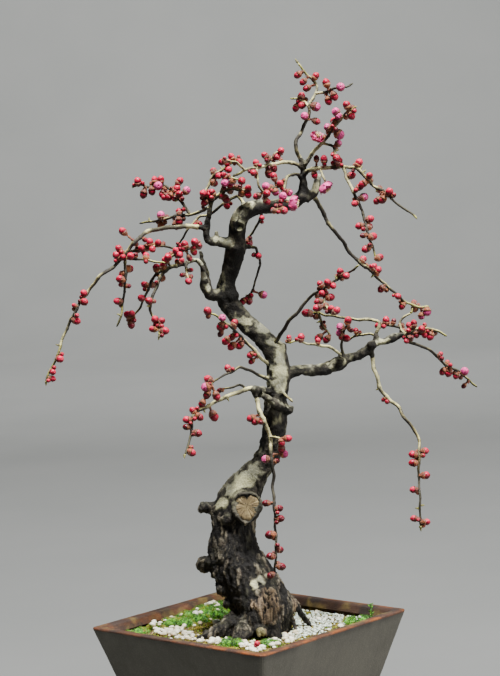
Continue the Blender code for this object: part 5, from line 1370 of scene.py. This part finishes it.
def petal_finish(name, dark, middle, pale):
    """Apricot petals: thin and waxy, lit from within, deep red in the closed bud and paler
    in an opening flower. Faces that look up are painted paler as a painted highlight, and faces
    that look down are painted dark as painted shade."""
    sockets = {
        "Roughness": 0.34,
        "IOR": 1.42,
        "Specular IOR Level": 0.4,
        "Subsurface Weight": 0.1,
        "Subsurface Radius": (0.004, 0.0012, 0.001),
        "Subsurface Scale": 0.4,
    }
    finish = Finish(name, sockets)
    tone = finish.kept("tone", 0.0, 1.0)
    crown = finish.kept("crown", 0.2, 1.0)
    # dried buds are dull; buds below the front spray's bend are painted dark as painted shade
    dull_and_shaded = finish.kept("tone", -0.1, -0.3)
    vein = finish.patches(1.4, 0.45, 0.7)  # real veins are finer and wouldn't show
    blush = finish.patches(6.0, 0.4, 0.65)
    # painted highlight on faces that look up
    painted_top_highlight = finish.facing_up(0.35, 1.0, 0.65)
    # painted shade on faces that look down
    under = finish.facing_up(0.1, -0.7)
    parts = {0: blush, 1: 0.3, 2: tone}
    warm = finish.node("ShaderNodeMath", parts, operation="MULTIPLY_ADD", use_clamp=True)
    # paler tone, with the painted highlight added
    light = finish.node("ShaderNodeMath", {0: warm, 1: painted_top_highlight}, operation="ADD", use_clamp=True)
    return finish.done(
        dark,
        (middle, crown, 0.8),
        (pale, light, 0.8),
        (dark, vein, 0.25),
        # painted shade underneath
        (dark, under, 0.75),
        (dark, dull_and_shaded, 0.65),
        relief=vein, depth=0.25,
    )


def calyx_finish():
    """Sepals and bud scales: dry, orange-brown at the base and maroon at the lobes."""
    sockets = {"Roughness": 0.55, "IOR": 1.45, "Sheen Weight": 0.2}
    finish = Finish("calyx_and_scales", sockets)
    spots = finish.patches(3.2, 0.42, 0.6)
    flecks = finish.patches(1.2, 0.5, 0.66)  # real flecks are finer and wouldn't show
    warm = finish.patches(11, 0.42, 0.58)
    return finish.done(
        "#5C160A", ("#8A3E0A", warm, 0.85), ("#380C08", spots, 0.6), ("#C08A30", flecks, 0.35),
        relief=flecks, depth=0.3,
    )


def twig_finish():
    """Apricot twigs: bleached and scurfy where they are old, brown further out and olive at
    their growing tips, with dark stretches and pale pores. Faces that look up are painted pale in
    patches as a painted highlight, and faces that look down are painted near black as painted
    shade, less so where the twig is bleached."""
    sockets = {"Roughness": 0.68, "IOR": 1.45, "Specular IOR Level": 0.4}
    finish = Finish("apricot_twig", sockets)
    aged = finish.kept("age", 0.3, 0.75)
    tip = finish.kept("age", 0.22, 0.02)
    scurf = finish.patches(3.0, 0.45, 0.6)
    dark = finish.patches(8.0, 0.48, 0.6)
    dim = finish.kept("dim")
    bleach = finish.kept("bleach")
    pores = finish.patches(1.1, 0.58, 0.66)  # real pores are half this size
    # painted highlight on faces that look up
    top_highlight = finish.facing_up(0.3, 0.75)
    crusty = finish.patches(9.0, 0.36, 0.56)
    # painted shade on faces that look down, lessened on bleached stretches
    shaded = finish.facing_up(0.3, -0.3)
    spared = finish.kept("bleach", 0.0, 1.0, 0.9, 0.3)
    return finish.done(
        "#50421C",
        ("#5E5838", aged, 0.85),
        ("#AFA97C", bleach, 0.9),
        ("#5C5C14", tip, 0.9),
        ("#16120C", dark, 0.9),
        ("#7E7650", scurf, 0.3),
        # painted highlight, in patches
        ("#D6CE88", top_highlight, crusty, 0.9),
        ("#94902A", tip, 0.5),
        ("#D0CAA4", pores, 0.35),
        # painted shade
        ("#0E0B07", shaded, spared),
        ("#18120A", dim, 0.92),
        relief=scurf, depth=0.35,
    )


def leaf_bud_finish():
    """Pointed leaf buds: olive scales with brown tips."""
    finish = Finish("leaf_bud_scales", {"Roughness": 0.6})
    brown = finish.patches(3.0, 0.42, 0.6)
    pale = finish.patches(1.3, 0.52, 0.66)
    return finish.done("#7C7A38", ("#4A3E22", brown, 0.8), ("#B7B06A", pale, 0.5), relief=pale, depth=0.3)


def stamen_finish():
    """Stamens: cream filaments with yellow pollen sacs."""
    finish = Finish("stamen", {"Roughness": 0.5})
    spots = finish.patches(1.5, 0.42, 0.58)
    return finish.done("#F0E2C0", ("#E3B94E", spots, 0.8))


# The pot and what lies in it

SPIN = Matrix.Rotation(POT_TURN, 4, "Z")
RIM_SLICES = 26  # the pot's sides are sliced this often, so that they can be uneven
BED_CELLS = 90


def outer_half(height):
    return POT_BASE_HALF + (POT_RIM_HALF - POT_BASE_HALF) * height / POT_HEIGHT


def build_pot():
    """Slab-built pot: a tapered block whose top is inset, sunk and undercut, with eased
    edges, drain holes and the slight unevenness of hand work."""
    bm = bmesh.new()
    bmesh.ops.create_cube(bm, size=2.0)
    for vert in bm.verts:
        height = POT_HEIGHT if vert.co.z > 0 else 0.0
        half = outer_half(height)
        vert.co = (vert.co.x * half, vert.co.y * half, height)
    sink = [
        (POT_HEIGHT - RIM_DEPTH, POT_RIM_HALF - RIM_TOP_WIDTH + 0.4),
        (POT_HEIGHT - RIM_DEPTH - 1.5, outer_half(POT_HEIGHT - RIM_DEPTH) - POT_WALL),
        (POT_FLOOR, outer_half(POT_FLOOR) - POT_WALL),
    ]
    top = max(bm.faces, key=lambda face: face.calc_center_median().z)
    bmesh.ops.inset_region(bm, faces=[top], thickness=RIM_TOP_WIDTH)
    floor = max(
        (face for face in bm.faces if abs(face.normal.z) > 0.9),
        key=lambda face: (round(face.calc_center_median().z, 2), face.calc_area()),
    )
    for height, half in sink:
        around = [floor, *floor.edges, *floor.verts]
        pushed = bmesh.ops.extrude_face_region(bm, geom=around)["geom"]
        floor = next(part for part in pushed if isinstance(part, bmesh.types.BMFace))
        for vert in floor.verts:
            vert.co = (math.copysign(half, vert.co.x), math.copysign(half, vert.co.y), height)
    bmesh.ops.recalc_face_normals(bm, faces=bm.faces)
    upright_edges = [
        edge
        for edge in bm.edges
        if abs(edge.verts[0].co.z - edge.verts[1].co.z) > 3 and edge.calc_length() > 5
    ]
    eased(bm, upright_edges, CORNER_ROUND, 4)
    rim_edges = [
        edge
        for edge in bm.edges
        if all(abs(vert.co.z - POT_HEIGHT) < 0.01 for vert in edge.verts)
        and edge.is_convex
        and edge.calc_face_angle(0) > 0.5
    ]
    eased(bm, rim_edges, RIM_ROUND, 3)
    foot_edges = [
        edge
        for edge in bm.edges
        if all(abs(vert.co.z) < 0.01 for vert in edge.verts) and edge.calc_face_angle(0) > 0.5
    ]
    eased(bm, foot_edges, FOOT_ROUND, 2)
    for axis in (Vector((1, 0, 0)), Vector((0, 1, 0)), Vector((0, 0, 1))):
        upwards = axis.z > 0.5
        reach = POT_HEIGHT if upwards else 2 * POT_RIM_HALF
        start = 0.0 if upwards else -POT_RIM_HALF
        for k in range(1, RIM_SLICES):
            bmesh.ops.bisect_plane(
                bm,
                geom=bm.verts[:] + bm.edges[:] + bm.faces[:],
                plane_co=axis * (start + reach * k / RIM_SLICES),
                plane_no=axis,
            )
    bmesh.ops.recalc_face_normals(bm, faces=bm.faces)
    bm.normal_update()
    for vert in bm.verts:
        if vert.co.z < 1.0:
            continue
        high = smooth_part(vert.co.z, 112, 128)
        uneven = 0.35 * noise.noise(vert.co / 40) + 0.22 * high * noise.noise(vert.co / 9)
        vert.co += vert.normal * uneven
    bmesh.ops.transform(bm, matrix=SPIN, verts=bm.verts)
    shell = take_mesh(bm, "pot", smooth=False)
    drills = bmesh.new()
    for x in (-DRAIN_SPREAD / 2, DRAIN_SPREAD / 2):
        for y in (-DRAIN_SPREAD / 2, DRAIN_SPREAD / 2):
            bmesh.ops.create_cone(
                drills,
                cap_ends=True,
                segments=28,
                radius1=DRAIN_RADIUS,
                radius2=DRAIN_RADIUS,
                depth=40,
                matrix=SPIN @ Matrix.Translation((x, y, 0)),
            )
    drill = in_scene("drill", take_mesh(drills, "drill"))
    mesh = applied(shell, "BOOLEAN", operation="DIFFERENCE", object=drill, solver="EXACT")
    bpy.data.objects.remove(drill)
    inner = []
    for point in points_of(mesh):
        local = SPIN.inverted() @ Vector(point)
        to_wall = outer_half(local.z) - max(abs(local.x), abs(local.y))
        inner.append(1.0 if to_wall > 0.35 * POT_WALL and local.z > 5 else 0.0)
    write_values(mesh, "inner", inner)
    return mesh


def clay_finish():
    """Unglazed stoneware: smoked dark and matt on the walls, worn to the warm clay along
    the rim, which is stained in places. The rim's edge is painted darker on the left as painted
    shade, and the inner faces are darker right of the middle."""
    sockets = {"Roughness": 0.72, "IOR": 1.5, "Specular IOR Level": 0.4}
    finish = Finish("unglazed_stoneware", sockets)
    edge = finish.placed("Z", 127.4, 129.3)
    under = finish.placed("Z", 121, 127)
    # the inner faces are darker right of the middle
    right_inner = finish.placed("X", 0, 30)
    # painted shade: the rim's edge is darker on the left
    left_rim_shade = finish.placed("X", -45, -80)
    inner = finish.kept("inner")
    warm = finish.node("ShaderNodeMath", {0: edge, 1: inner}, operation="MAXIMUM")
    tall = {"Vector": finish.where, "Scale": (1.0, 1.0, 0.3)}
    drawn = finish.node("ShaderNodeMapping", tall)
    streaks = finish.patches(5.5, 0.4, 0.66, where=drawn)
    clouds = finish.patches(38, 0.36, 0.66)
    grit = finish.patches(1.3, 0.5, 0.7)  # real grit is finer and wouldn't show
    parts = {0: streaks, 1: 0.4, 2: grit}
    rough = finish.node("ShaderNodeMath", parts, operation="MULTIPLY_ADD", use_clamp=True)
    stains = finish.patches(26, 0.46, 0.57)
    worn = finish.patches(12, 0.36, 0.6)
    blotches = finish.patches(17, 0.5, 0.64)
    return finish.done(
        "#58554C",
        ("#47443C", clouds, 0.5),
        ("#69665A", streaks, 0.2),
        ("#7A776A", grit, 0.25),
        ("#2A2725", under, clouds, 0.6),
        ("#6A4628", inner, 0.85),
        ("#4C2809", edge),
        ("#84420C", warm, worn, 0.65),
        ("#241A16", warm, stains, 0.85),
        ("#8E6244", warm, grit, 0.3),
        # painted shade on the left of the rim's edge
        ("#20140C", edge, left_rim_shade, 0.6),
        ("#211812", inner, right_inner, 0.75),
        ("#7A6630", inner, blotches, 0.7),
        ("#17110D", inner, worn, 0.6),
        relief=rough,
        depth=0.35,
        strength=0.6,
    )


def mouth_half(height):
    return outer_half(height) - POT_WALL


def build_bed():
    """The crumbly ground under the pebbles, as one closed slab that fills the mouth."""
    bm = bmesh.new()
    top = SOIL_TOP + GRAVEL_THICK
    half = mouth_half(SOIL_TOP) - 0.4
    bmesh.ops.create_grid(bm, x_segments=BED_CELLS, y_segments=BED_CELLS, size=half)
    pushed = bmesh.ops.extrude_face_region(bm, geom=bm.faces[:])["geom"]
    raised = {part for part in pushed if isinstance(part, bmesh.types.BMVert)}
    for vert in raised:
        crumbs = noise.fractal(vert.co / 6, 1.0, 2.0, 3)
        swell = noise.noise(vert.co / 30)
        inner = min(1.0, (half - max(abs(vert.co.x), abs(vert.co.y))) / 12)
        vert.co.z = top - 1.4 + 1.1 * crumbs + 1.5 * swell * inner
    for vert in set(bm.verts) - raised:
        vert.co.z = SOIL_TOP + 0.3
    bmesh.ops.transform(bm, matrix=SPIN, verts=bm.verts)
    return take_mesh(bm, "bed")


def pebble_shape(seed):
    """A worn stone of unit size: a block cut once each way, rounded and left uneven."""
    bm = bmesh.new()
    bmesh.ops.create_cube(bm, size=2.0)
    bmesh.ops.subdivide_edges(bm, edges=bm.edges[:], cuts=1, use_grid_fill=True)
    for vert in bm.verts:
        vert.co = vert.co.normalized() * (1 + 0.28 * noise.noise(vert.co * 0.9 + Vector((seed,) * 3)))
    return take_mesh(bm, "pebble_shape")


def scatter_spots(name, pitch, half, shake=0.42):
    """Places on the pot's square, one in each cell of a grid, well shaken. Each comes with
    its own draws, so that one left out changes no other."""
    count = int(2 * half / pitch)
    for i in range(count):
        for j in range(count):
            look = random.Random(f"{name} {i} {j}")
            x = -half + (i + 0.5 + look.uniform(-shake, shake)) * pitch
            y = -half + (j + 0.5 + look.uniform(-shake, shake)) * pitch
            yield SPIN @ Vector((x, y, 0)), look


def moss_height(x, y):
    """How high the moss stands over this spot, in mm above the soil, or 0."""
    best = 0.0
    for spots in MOSS.values():
        for mx, my, wide, tall in spots:
            away = math.hypot(x - mx, y - my) / wide
            if away < 1:
                best = max(best, (GRAVEL_THICK + tall) * math.sqrt(1 - away**2.4))
    return best


def wood_points(bark):
    """The bark's points, sorted by place, and the outward direction at each."""
    tree = KDTree(len(bark.vertices))
    for vert in bark.vertices:
        tree.insert(vert.co, vert.index)
    tree.balance()
    return tree, [vert.normal.copy() for vert in bark.vertices]


def depth_in_wood(wood, point):
    """How far a point lies inside the wood, in mm; negative outside."""
    tree, outward = wood
    near, index, away = tree.find(point * MM)
    inside = (point * MM - near).dot(outward[index]) < 0
    return (away if inside else -away) / MM


# where the top dressing shows, as it lies on the board: (across, down, half width, half height)
PEBBLE_HEAPS = [
    (150, 625.5, 8, 4), (160, 629, 12, 4), (172, 632, 13, 4.5), (186, 636, 12, 4), (201, 639, 9, 4),
    (202, 608.5, 7, 3.5), (216, 608, 8, 6), (231, 606, 4, 4), (185, 610, 4, 2.5), (200, 619, 5, 3.5),
    (218, 623, 7, 3), (214, 640, 6, 3), (224, 642, 6, 3), (246, 645, 9, 3.5), (276, 642, 7, 4),
    (288, 638, 9, 5), (256, 649, 10, 3),
]
GRIT_HEAPS = [
    (301, 620, 8, 10), (309, 631, 14, 5), (320, 619, 18, 10), (341, 618.5, 13, 6), (355, 620, 8, 3.5),
    (297, 634, 9, 5), (334, 611, 15, 4),
]


def heap_part(spot, heaps):
    """1 in the middle of any of the heaps, 0 outside them, with a ragged border."""
    across, down = on_board(Vector((spot.x, spot.y, SOIL_TOP + GRAVEL_THICK)))
    best = 0.0
    for middle, low, wide, tall in heaps:
        away = math.hypot((across - middle) / wide, (down - low) / tall)
        away += 0.35 * noise.noise(spot / 7)
        best = max(best, 1 - smooth_part(away, 0.75, 1.2))
    return best


def build_pebbles(wood):
    """Two kinds of top dressing: rounded cream-white pebbles, and finer grey-white grit on
    the right of the trunk."""
    half = mouth_half(SOIL_TOP + GRAVEL_THICK) - 2.5
    shapes = [pebble_shape(seed) for seed in range(6)]
    kinds = {"pebbles": [], "grit": []}
    for name, pitch, low, high in (("pebbles", 5.0, 2.0, 4.4), ("grit", 3.3, 1.3, 2.3)):
        for spot, look in scatter_spots(name, pitch, half):
            size = low + (high - low) * look.random() ** 2
            moss = moss_height(spot.x, spot.y)
            hidden = spot.y > 40 or spot.x < -60 and spot.y > 20
            if name == "grit":
                chance = 0.9 * heap_part(spot, GRIT_HEAPS)
            else:
                chance = max(0.8 * heap_part(spot, PEBBLE_HEAPS), 0.16 if hidden else 0.06)
            if look.random() > chance * (0.6 if moss > 4 else 1.0):
                continue
            spot.z = SOIL_TOP + max(GRAVEL_THICK - 0.4, moss) + 0.35 * size
            if depth_in_wood(wood, spot) > -0.5 * size:
                continue
            turn = Matrix.Rotation(look.uniform(0, 6.3), 4, "Z")
            turn @= Matrix.Rotation(look.uniform(-0.5, 0.5), 4, "X")
            squash = Matrix.Diagonal((size, size * look.uniform(0.65, 0.95), 0.62 * size, 1))
            kinds[name].append((Matrix.Translation(spot * MM) @ turn @ squash, look.uniform(0, 1)))
    meshes = {}
    for name, placed in kinds.items():
        groups, tones = [], []
        for k, shape in enumerate(shapes):
            mine = placed[k :: len(shapes)]
            groups.append(repeated(shape, [place for place, _ in mine], name))
            for _, tone in mine:
                tones += [tone] * len(shape.vertices)
        meshes[name] = joined(groups, name)
        write_values(meshes[name], "tone", tones)
    return meshes


def pebble_finish(name, base, tint, shade):
    """Tumbled quartz and marble: chalky white to cream, dusty with earth in places."""
    sockets = {"Roughness": 0.5, "IOR": 1.54, "Subsurface Weight": 0.06}
    finish = Finish(name, sockets)
    tone = finish.kept("tone", 0.35, 1.0)
    dusty = finish.kept("tone", 0.25, 0.0)
    marks = finish.patches(2.6, 0.46, 0.64)
    earth = finish.patches(16, 0.5, 0.66)
    specks = finish.patches(1.2, 0.58, 0.68)
    return finish.done(
        base,
        (tint, tone, 0.75),
        (shade, dusty, 0.6),
        (shade, marks, 0.25),
        ("#8E7B58", earth, 0.3),
        ("#7D7465", specks, 0.35),
        relief=marks, depth=0.3,
    )


def earth_finish(name, base="#2E251C"):
    """Potting earth: dark crumbs with grains of pumice and bits of dry moss."""
    sockets = {"Roughness": 0.95, "IOR": 1.4, "Specular IOR Level": 0.2}
    finish = Finish(name, sockets)
    crumbs = finish.patches(3.0, 0.4, 0.6)
    green = finish.patches(12, 0.42, 0.56)
    grains = finish.patches(1.8, 0.58, 0.64)  # the coarser grains; finer ones wouldn't show
    return finish.done(
        base, ("#6A5334", crumbs, 0.7), ("#857A22", green, 0.8), ("#C6B78E", grains, 0.7),
        relief=crumbs, depth=1.2,
    )


GOLDEN_TURN = 2.39996  # each shoot stands this far round from the one before, in radians


def moss_shoot_shape():
    """A shoot of moss: four narrow pointed leaves that lean away from each other."""
    bm = bmesh.new()
    for k in range(4):
        lean = Matrix.Rotation(k * math.pi / 2 + 0.4, 4, "Z")
        lean @= Matrix.Rotation(math.radians(24 + 9 * (k % 2)), 4, "Y")
        bmesh.ops.create_cone(
            bm,
            cap_ends=True,
            segments=3,
            radius1=0.19,
            radius2=0.02,
            depth=1.0,
            matrix=lean @ Matrix.Translation((0, 0, 0.42)),
        )
    return take_mesh(bm, "moss_shoot", smooth=False)


def build_moss(name, wood, shoot):
    """A cushion of moss: a dark heart in the shape of the part's cushion, and shoots that
    stand out of it all over."""
    places, tones = [], []
    for x, y, wide, _ in MOSS[name]:
        count = int(wide * wide * 1.35)
        for k in range(count):
            look = random.Random(f"{name} {x} {k}")
            away = wide * 1.02 * math.sqrt((k + 0.5) / count)
            turn = GOLDEN_TURN * k + look.uniform(-0.3, 0.3)
            spot = Vector((x + away * math.cos(turn), y + away * math.sin(turn), 0))
            height = moss_height(spot.x, spot.y)
            spot.z = SOIL_TOP + max(height, 2.4) - 1.8 + 2.2 * noise.noise(spot / 5)
            if depth_in_wood(wood, spot) > 0.5:
                continue
            lean = Vector((spot.x - x, spot.y - y, 0)) / wide * 0.7
            axis = Vector((look.gauss(0, 0.2), look.gauss(0, 0.2), 1)) + lean
            places.append(pointing(spot, axis.normalized(), look.uniform(2.2, 4.6), k))
            dry = 0.4 + 1.3 * noise.noise(spot / 9 + Vector((1, 7, 0)))
            tones.append(dry + look.uniform(-0.2, 0.2))
    mesh = repeated(shoot, places, name)
    values = np.repeat(tones, len(shoot.vertices))
    heart_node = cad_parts[name]
    heart = heart_node.data.copy()
    heart.materials.clear()
    whole = joined([mesh, heart], name)
    write_values(whole, "tone", [*values, *([0.3] * (len(whole.vertices) - len(values)))])
    return whole


def build_low_moss(wood, shoot):
    """Short dry moss wherever the earth lies open between the stones."""
    half = mouth_half(SOIL_TOP + GRAVEL_THICK) - 1.5
    places, tones = [], []
    for spot, look in scatter_spots("low_moss", 2.9, half, 0.5):
        stones = max(heap_part(spot, PEBBLE_HEAPS), heap_part(spot, GRIT_HEAPS))
        bald = noise.noise(spot / 10 + Vector((4, 4, 8)))
        if stones > 0.6 or bald < -0.12 or moss_height(spot.x, spot.y) > 1:
            continue
        spot.z = SOIL_TOP + GRAVEL_THICK - 1.2 + 0.8 * noise.noise(spot / 6)
        if depth_in_wood(wood, spot) > 0.5:
            continue
        lean = Vector((look.gauss(0, 0.3), look.gauss(0, 0.3), 1)).normalized()
        places.append(pointing(spot, lean, look.uniform(1.2, 2.6), look.uniform(0, 6)))
        tones.append(0.8 + 0.5 * noise.noise(spot / 12) + look.uniform(-0.15, 0.15))
    mesh = repeated(shoot, places, "low_moss")
    write_values(mesh, "tone", np.repeat(tones, len(shoot.vertices)))
    return mesh


def moss_finish():
    """Living moss: fine and matt, bright green where it is damp and ochre where it is dry."""
    sockets = {"Roughness": 0.8, "IOR": 1.4, "Sheen Weight": 0.3, "Subsurface Weight": 0.05}
    finish = Finish("living_moss", sockets)
    dry = finish.kept("tone", 0.45, 0.95)
    dark = finish.kept("tone", 0.45, 0.05)
    tuft = finish.patches(2.4, 0.42, 0.62)
    return finish.done(
        "#2C7002", ("#96780E", dry, 0.9), ("#0B2804", dark, 0.9), ("#86D40A", tuft, 0.45),
        relief=tuft, depth=0.4,
    )


def build_seedling():
    """The small seedling at the pot's right corner: a thin stem with narrow leaves."""
    points, radii = curve_through([Vector(p[:3]) for p in SPRIG], [p[3] for p in SPRIG], 1.5)
    meshes = [take_mesh(stem(points, [0.7 * r for r in radii], 6), "seedling_stem")]
    run = lengths_along(points)
    for k in range(9):
        root = along(points, run, run[-1] * (0.3 + 0.08 * k))[0]
        turn = k * 2.4
        out = Vector((math.cos(turn), math.sin(turn), 1.1))
        leaf = petal_shape(1.0)
        leaf.transform(pointing(root, out, 1.0) @ Matrix.Rotation(-1.2, 4, "Y"))
        leaf.transform(Matrix.Translation(-root * MM))
        leaf.transform(Matrix.Scale(0.8, 4))
        leaf.transform(Matrix.Translation(root * MM))
        meshes.append(leaf)
    return joined(meshes, "seedling")


def seedling_finish():
    finish = Finish("seedling_leaf", {"Roughness": 0.5})
    pale = finish.patches(3.0, 0.42, 0.6)
    return finish.done("#86B028", ("#CBE078", pale, 0.7))


def screen_finish():
    """Black polyethylene mesh, moulded, with a dull gloss and some clay dust."""
    sockets = {"Roughness": 0.45, "IOR": 1.5}
    finish = Finish("moulded_polyethylene", sockets)
    dust = finish.patches(4.0, 0.5, 0.66)
    return finish.done("#1C1D1F", ("#5B4B3C", dust, 0.6), relief=dust, depth=0.2)


# The stage, the lights and the camera


SWEEP_HALF = 9000
SWEEP_BACK = 5200
SWEEP_TALL = 6000
SWEEP_BEND = 1500


def build_stage():
    """A pale sweep: floor and backdrop in one, with a wide bend between them."""
    bm = bmesh.new()
    bmesh.ops.create_grid(bm, x_segments=1, y_segments=1, size=SWEEP_HALF)
    bm.edges.ensure_lookup_table()
    far = max(bm.edges, key=lambda edge: sum(vert.co.y for vert in edge.verts))
    for vert in far.verts:
        vert.co.y = SWEEP_BACK
    pushed = bmesh.ops.extrude_edge_only(bm, edges=[far])["geom"]
    lifted = [part for part in pushed if isinstance(part, bmesh.types.BMVert)]
    bmesh.ops.translate(bm, verts=lifted, vec=(0, 0, SWEEP_TALL))
    eased(bm, [far], SWEEP_BEND, 24)
    for face in bm.faces:
        face.smooth = True
    bmesh.ops.scale(bm, vec=(MM, MM, MM), verts=bm.verts)
    mesh = bpy.data.meshes.new("sweep")
    bm.to_mesh(mesh)
    bm.free()
    sweep = in_scene("sweep", mesh)
    finish = Finish("matt_paper", {"Roughness": 0.9})
    fibre = finish.patches(260, 0.3, 0.7)
    dress(mesh, finish.done("#636462", ("#5C5E5C", fibre, 0.5)))
    sweep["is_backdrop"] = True


def hang_light(name, place, target, size, watts, tint="#FFFFFF"):
    lamp = bpy.data.lights.new(name, "AREA")
    lamp.size = size
    lamp.energy = watts
    lamp.color = colour(tint)[:3]
    holder = in_scene(name, lamp)
    holder.location = place
    holder.rotation_euler = (Vector(target) - Vector(place)).to_track_quat("-Z", "Y").to_euler()


def set_up_camera():
    lens = bpy.data.cameras.new("eye")
    lens.sensor_width = SENSOR_WIDE
    lens.lens = SENSOR_WIDE * EYE_DISTANCE / FRAME_TALL
    camera = in_scene("eye", lens)
    seat = Matrix((RIGHT, UP, -AHEAD)).transposed().to_4x4()
    seat.translation = EYE * MM
    camera.matrix_world = seat
    bpy.context.scene.camera = camera


def light_the_room():
    world = bpy.data.worlds.new("room")
    world.use_nodes = True
    world.node_tree.nodes["Background"].inputs[0].default_value = colour("#DDE3EA")
    world.node_tree.nodes["Background"].inputs[1].default_value = 0.10
    bpy.context.scene.world = world
    hang_light("overhead", (0.35, -1.1, 4.6), (0, 0, 0.35), 0.8, 880)
    hang_light("side", (2.6, -1.0, 0.8), (0, 0, 0.15), 0.7, 66)
    hang_light("wall_wash", (0.0, 2.4, 2.6), (0, 5.2, 2.2), 2.0, 250)


# Making the pieces

set_up_camera()
light_the_room()
build_stage()

hosts = {name: in_space(route) for name, route in LIMBS.items()}
hosts["trunk"] = in_space(TRUNK)
growth = Growth()
for spray_name in SPRAYS:
    grow(spray_name, growth, hosts)

bark_mesh = build_bark()
bark = place_piece("bark", bark_mesh, "bark", bark_finish())
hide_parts("wood")
place_piece("wound_face", build_wound(), "bark", heartwood_finish())

twigs = place_piece("twigs", build_twigs(growth), "twigs", twig_finish())
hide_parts(*SPRAYS)
calyx = calyx_finish()
for name, kind, shape, slot, finish in (
    ("calyxes", "cup", cup_shape(), "petals", calyx),
    ("bud_stalks", "stalk", stalk_shape(), "twigs", calyx),
    ("bud_scales", "scale", leaf_bud_shape(), "twigs", calyx),
    ("leaf_buds", "leaf", leaf_bud_shape(), "twigs", leaf_bud_finish()),
):
    place_piece(name, repeated(shape, growth.places[kind], name), slot, finish)

petal_red = petal_finish("bud_petals", "#200004", "#7E0014", "#F01C50")
petal_pink = petal_finish("opening_petals", "#5E001C", "#AE0450", "#F65CA4")
bud = bud_shape()
bud_mesh = repeated(bud, growth.places["bud"], "buds")
heights = points_of(bud)[:, 2]
write_values(bud_mesh, "crown", np.tile((heights + 0.7) / 1.7, len(growth.places["bud"])))
write_values(bud_mesh, "tone", np.repeat(growth.tones, len(bud.vertices)))
place_piece("buds", bud_mesh, "petals", petal_red)
open_mesh, stamen_mesh = build_flowers(growth)
place_piece("open_petals", open_mesh, "petals", petal_pink)
place_piece("stamens", stamen_mesh, "petals", stamen_finish())

foot = on_level(*FALLEN_BUD, SOIL_TOP + GRAVEL_THICK + 3)
lie = Vector((0.5, -0.3, 1))
fallen_parts = [bud.copy(), cup_shape()]
for part in fallen_parts:
    part.transform(pointing(foot + lie.normalized() * 1.0, lie, 3.2))
fallen_mesh = joined(fallen_parts, "fallen_bud")
write_values(fallen_mesh, "crown", [0.6] * len(fallen_mesh.vertices))
write_values(fallen_mesh, "tone", [0.2] * len(fallen_mesh.vertices))
fallen = place_piece("fallen_flower_bud", fallen_mesh, "petals", petal_red)
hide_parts("fallen_bud")

pot = place_piece("square_pot", build_pot(), "pot_clay", clay_finish())
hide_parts("pot")
bed = place_piece("gravel_bed", build_bed(), "gravel", earth_finish("gravel_bed_earth"))
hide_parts("gravel")
wood = wood_points(bark_mesh)
pebble_meshes = build_pebbles(wood)
white = pebble_finish("tumbled_quartz", "#DDD6BC", "#F6F2E4", "#A8925C")
grey = pebble_finish("marble_grit", "#BCC4B2", "#E6EEE0", "#7E8672")
place_piece("pebbles", pebble_meshes["pebbles"], "gravel", white)
place_piece("grit", pebble_meshes["grit"], "gravel", grey)

moss = moss_finish()
shoot = moss_shoot_shape()
for moss_name in MOSS:
    mesh = build_moss(moss_name, wood, shoot)
    cushion = place_piece(moss_name + "_shoots", mesh, "moss", moss)
    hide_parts(moss_name)
place_piece("low_moss", build_low_moss(wood, shoot), "moss", moss)
place_piece("seedling", build_seedling(), "moss", seedling_finish())

dress(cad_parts["soil"].data, earth_finish("potting_earth"))
screen = screen_finish()
for number in range(1, 5):
    dress(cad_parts[f"drain_screen_{number}"].data, screen)

boxes = {"cad": CAD_BOX, "visual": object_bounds()}
{name: [list(corner) for corner in box] for name, box in boxes.items()}
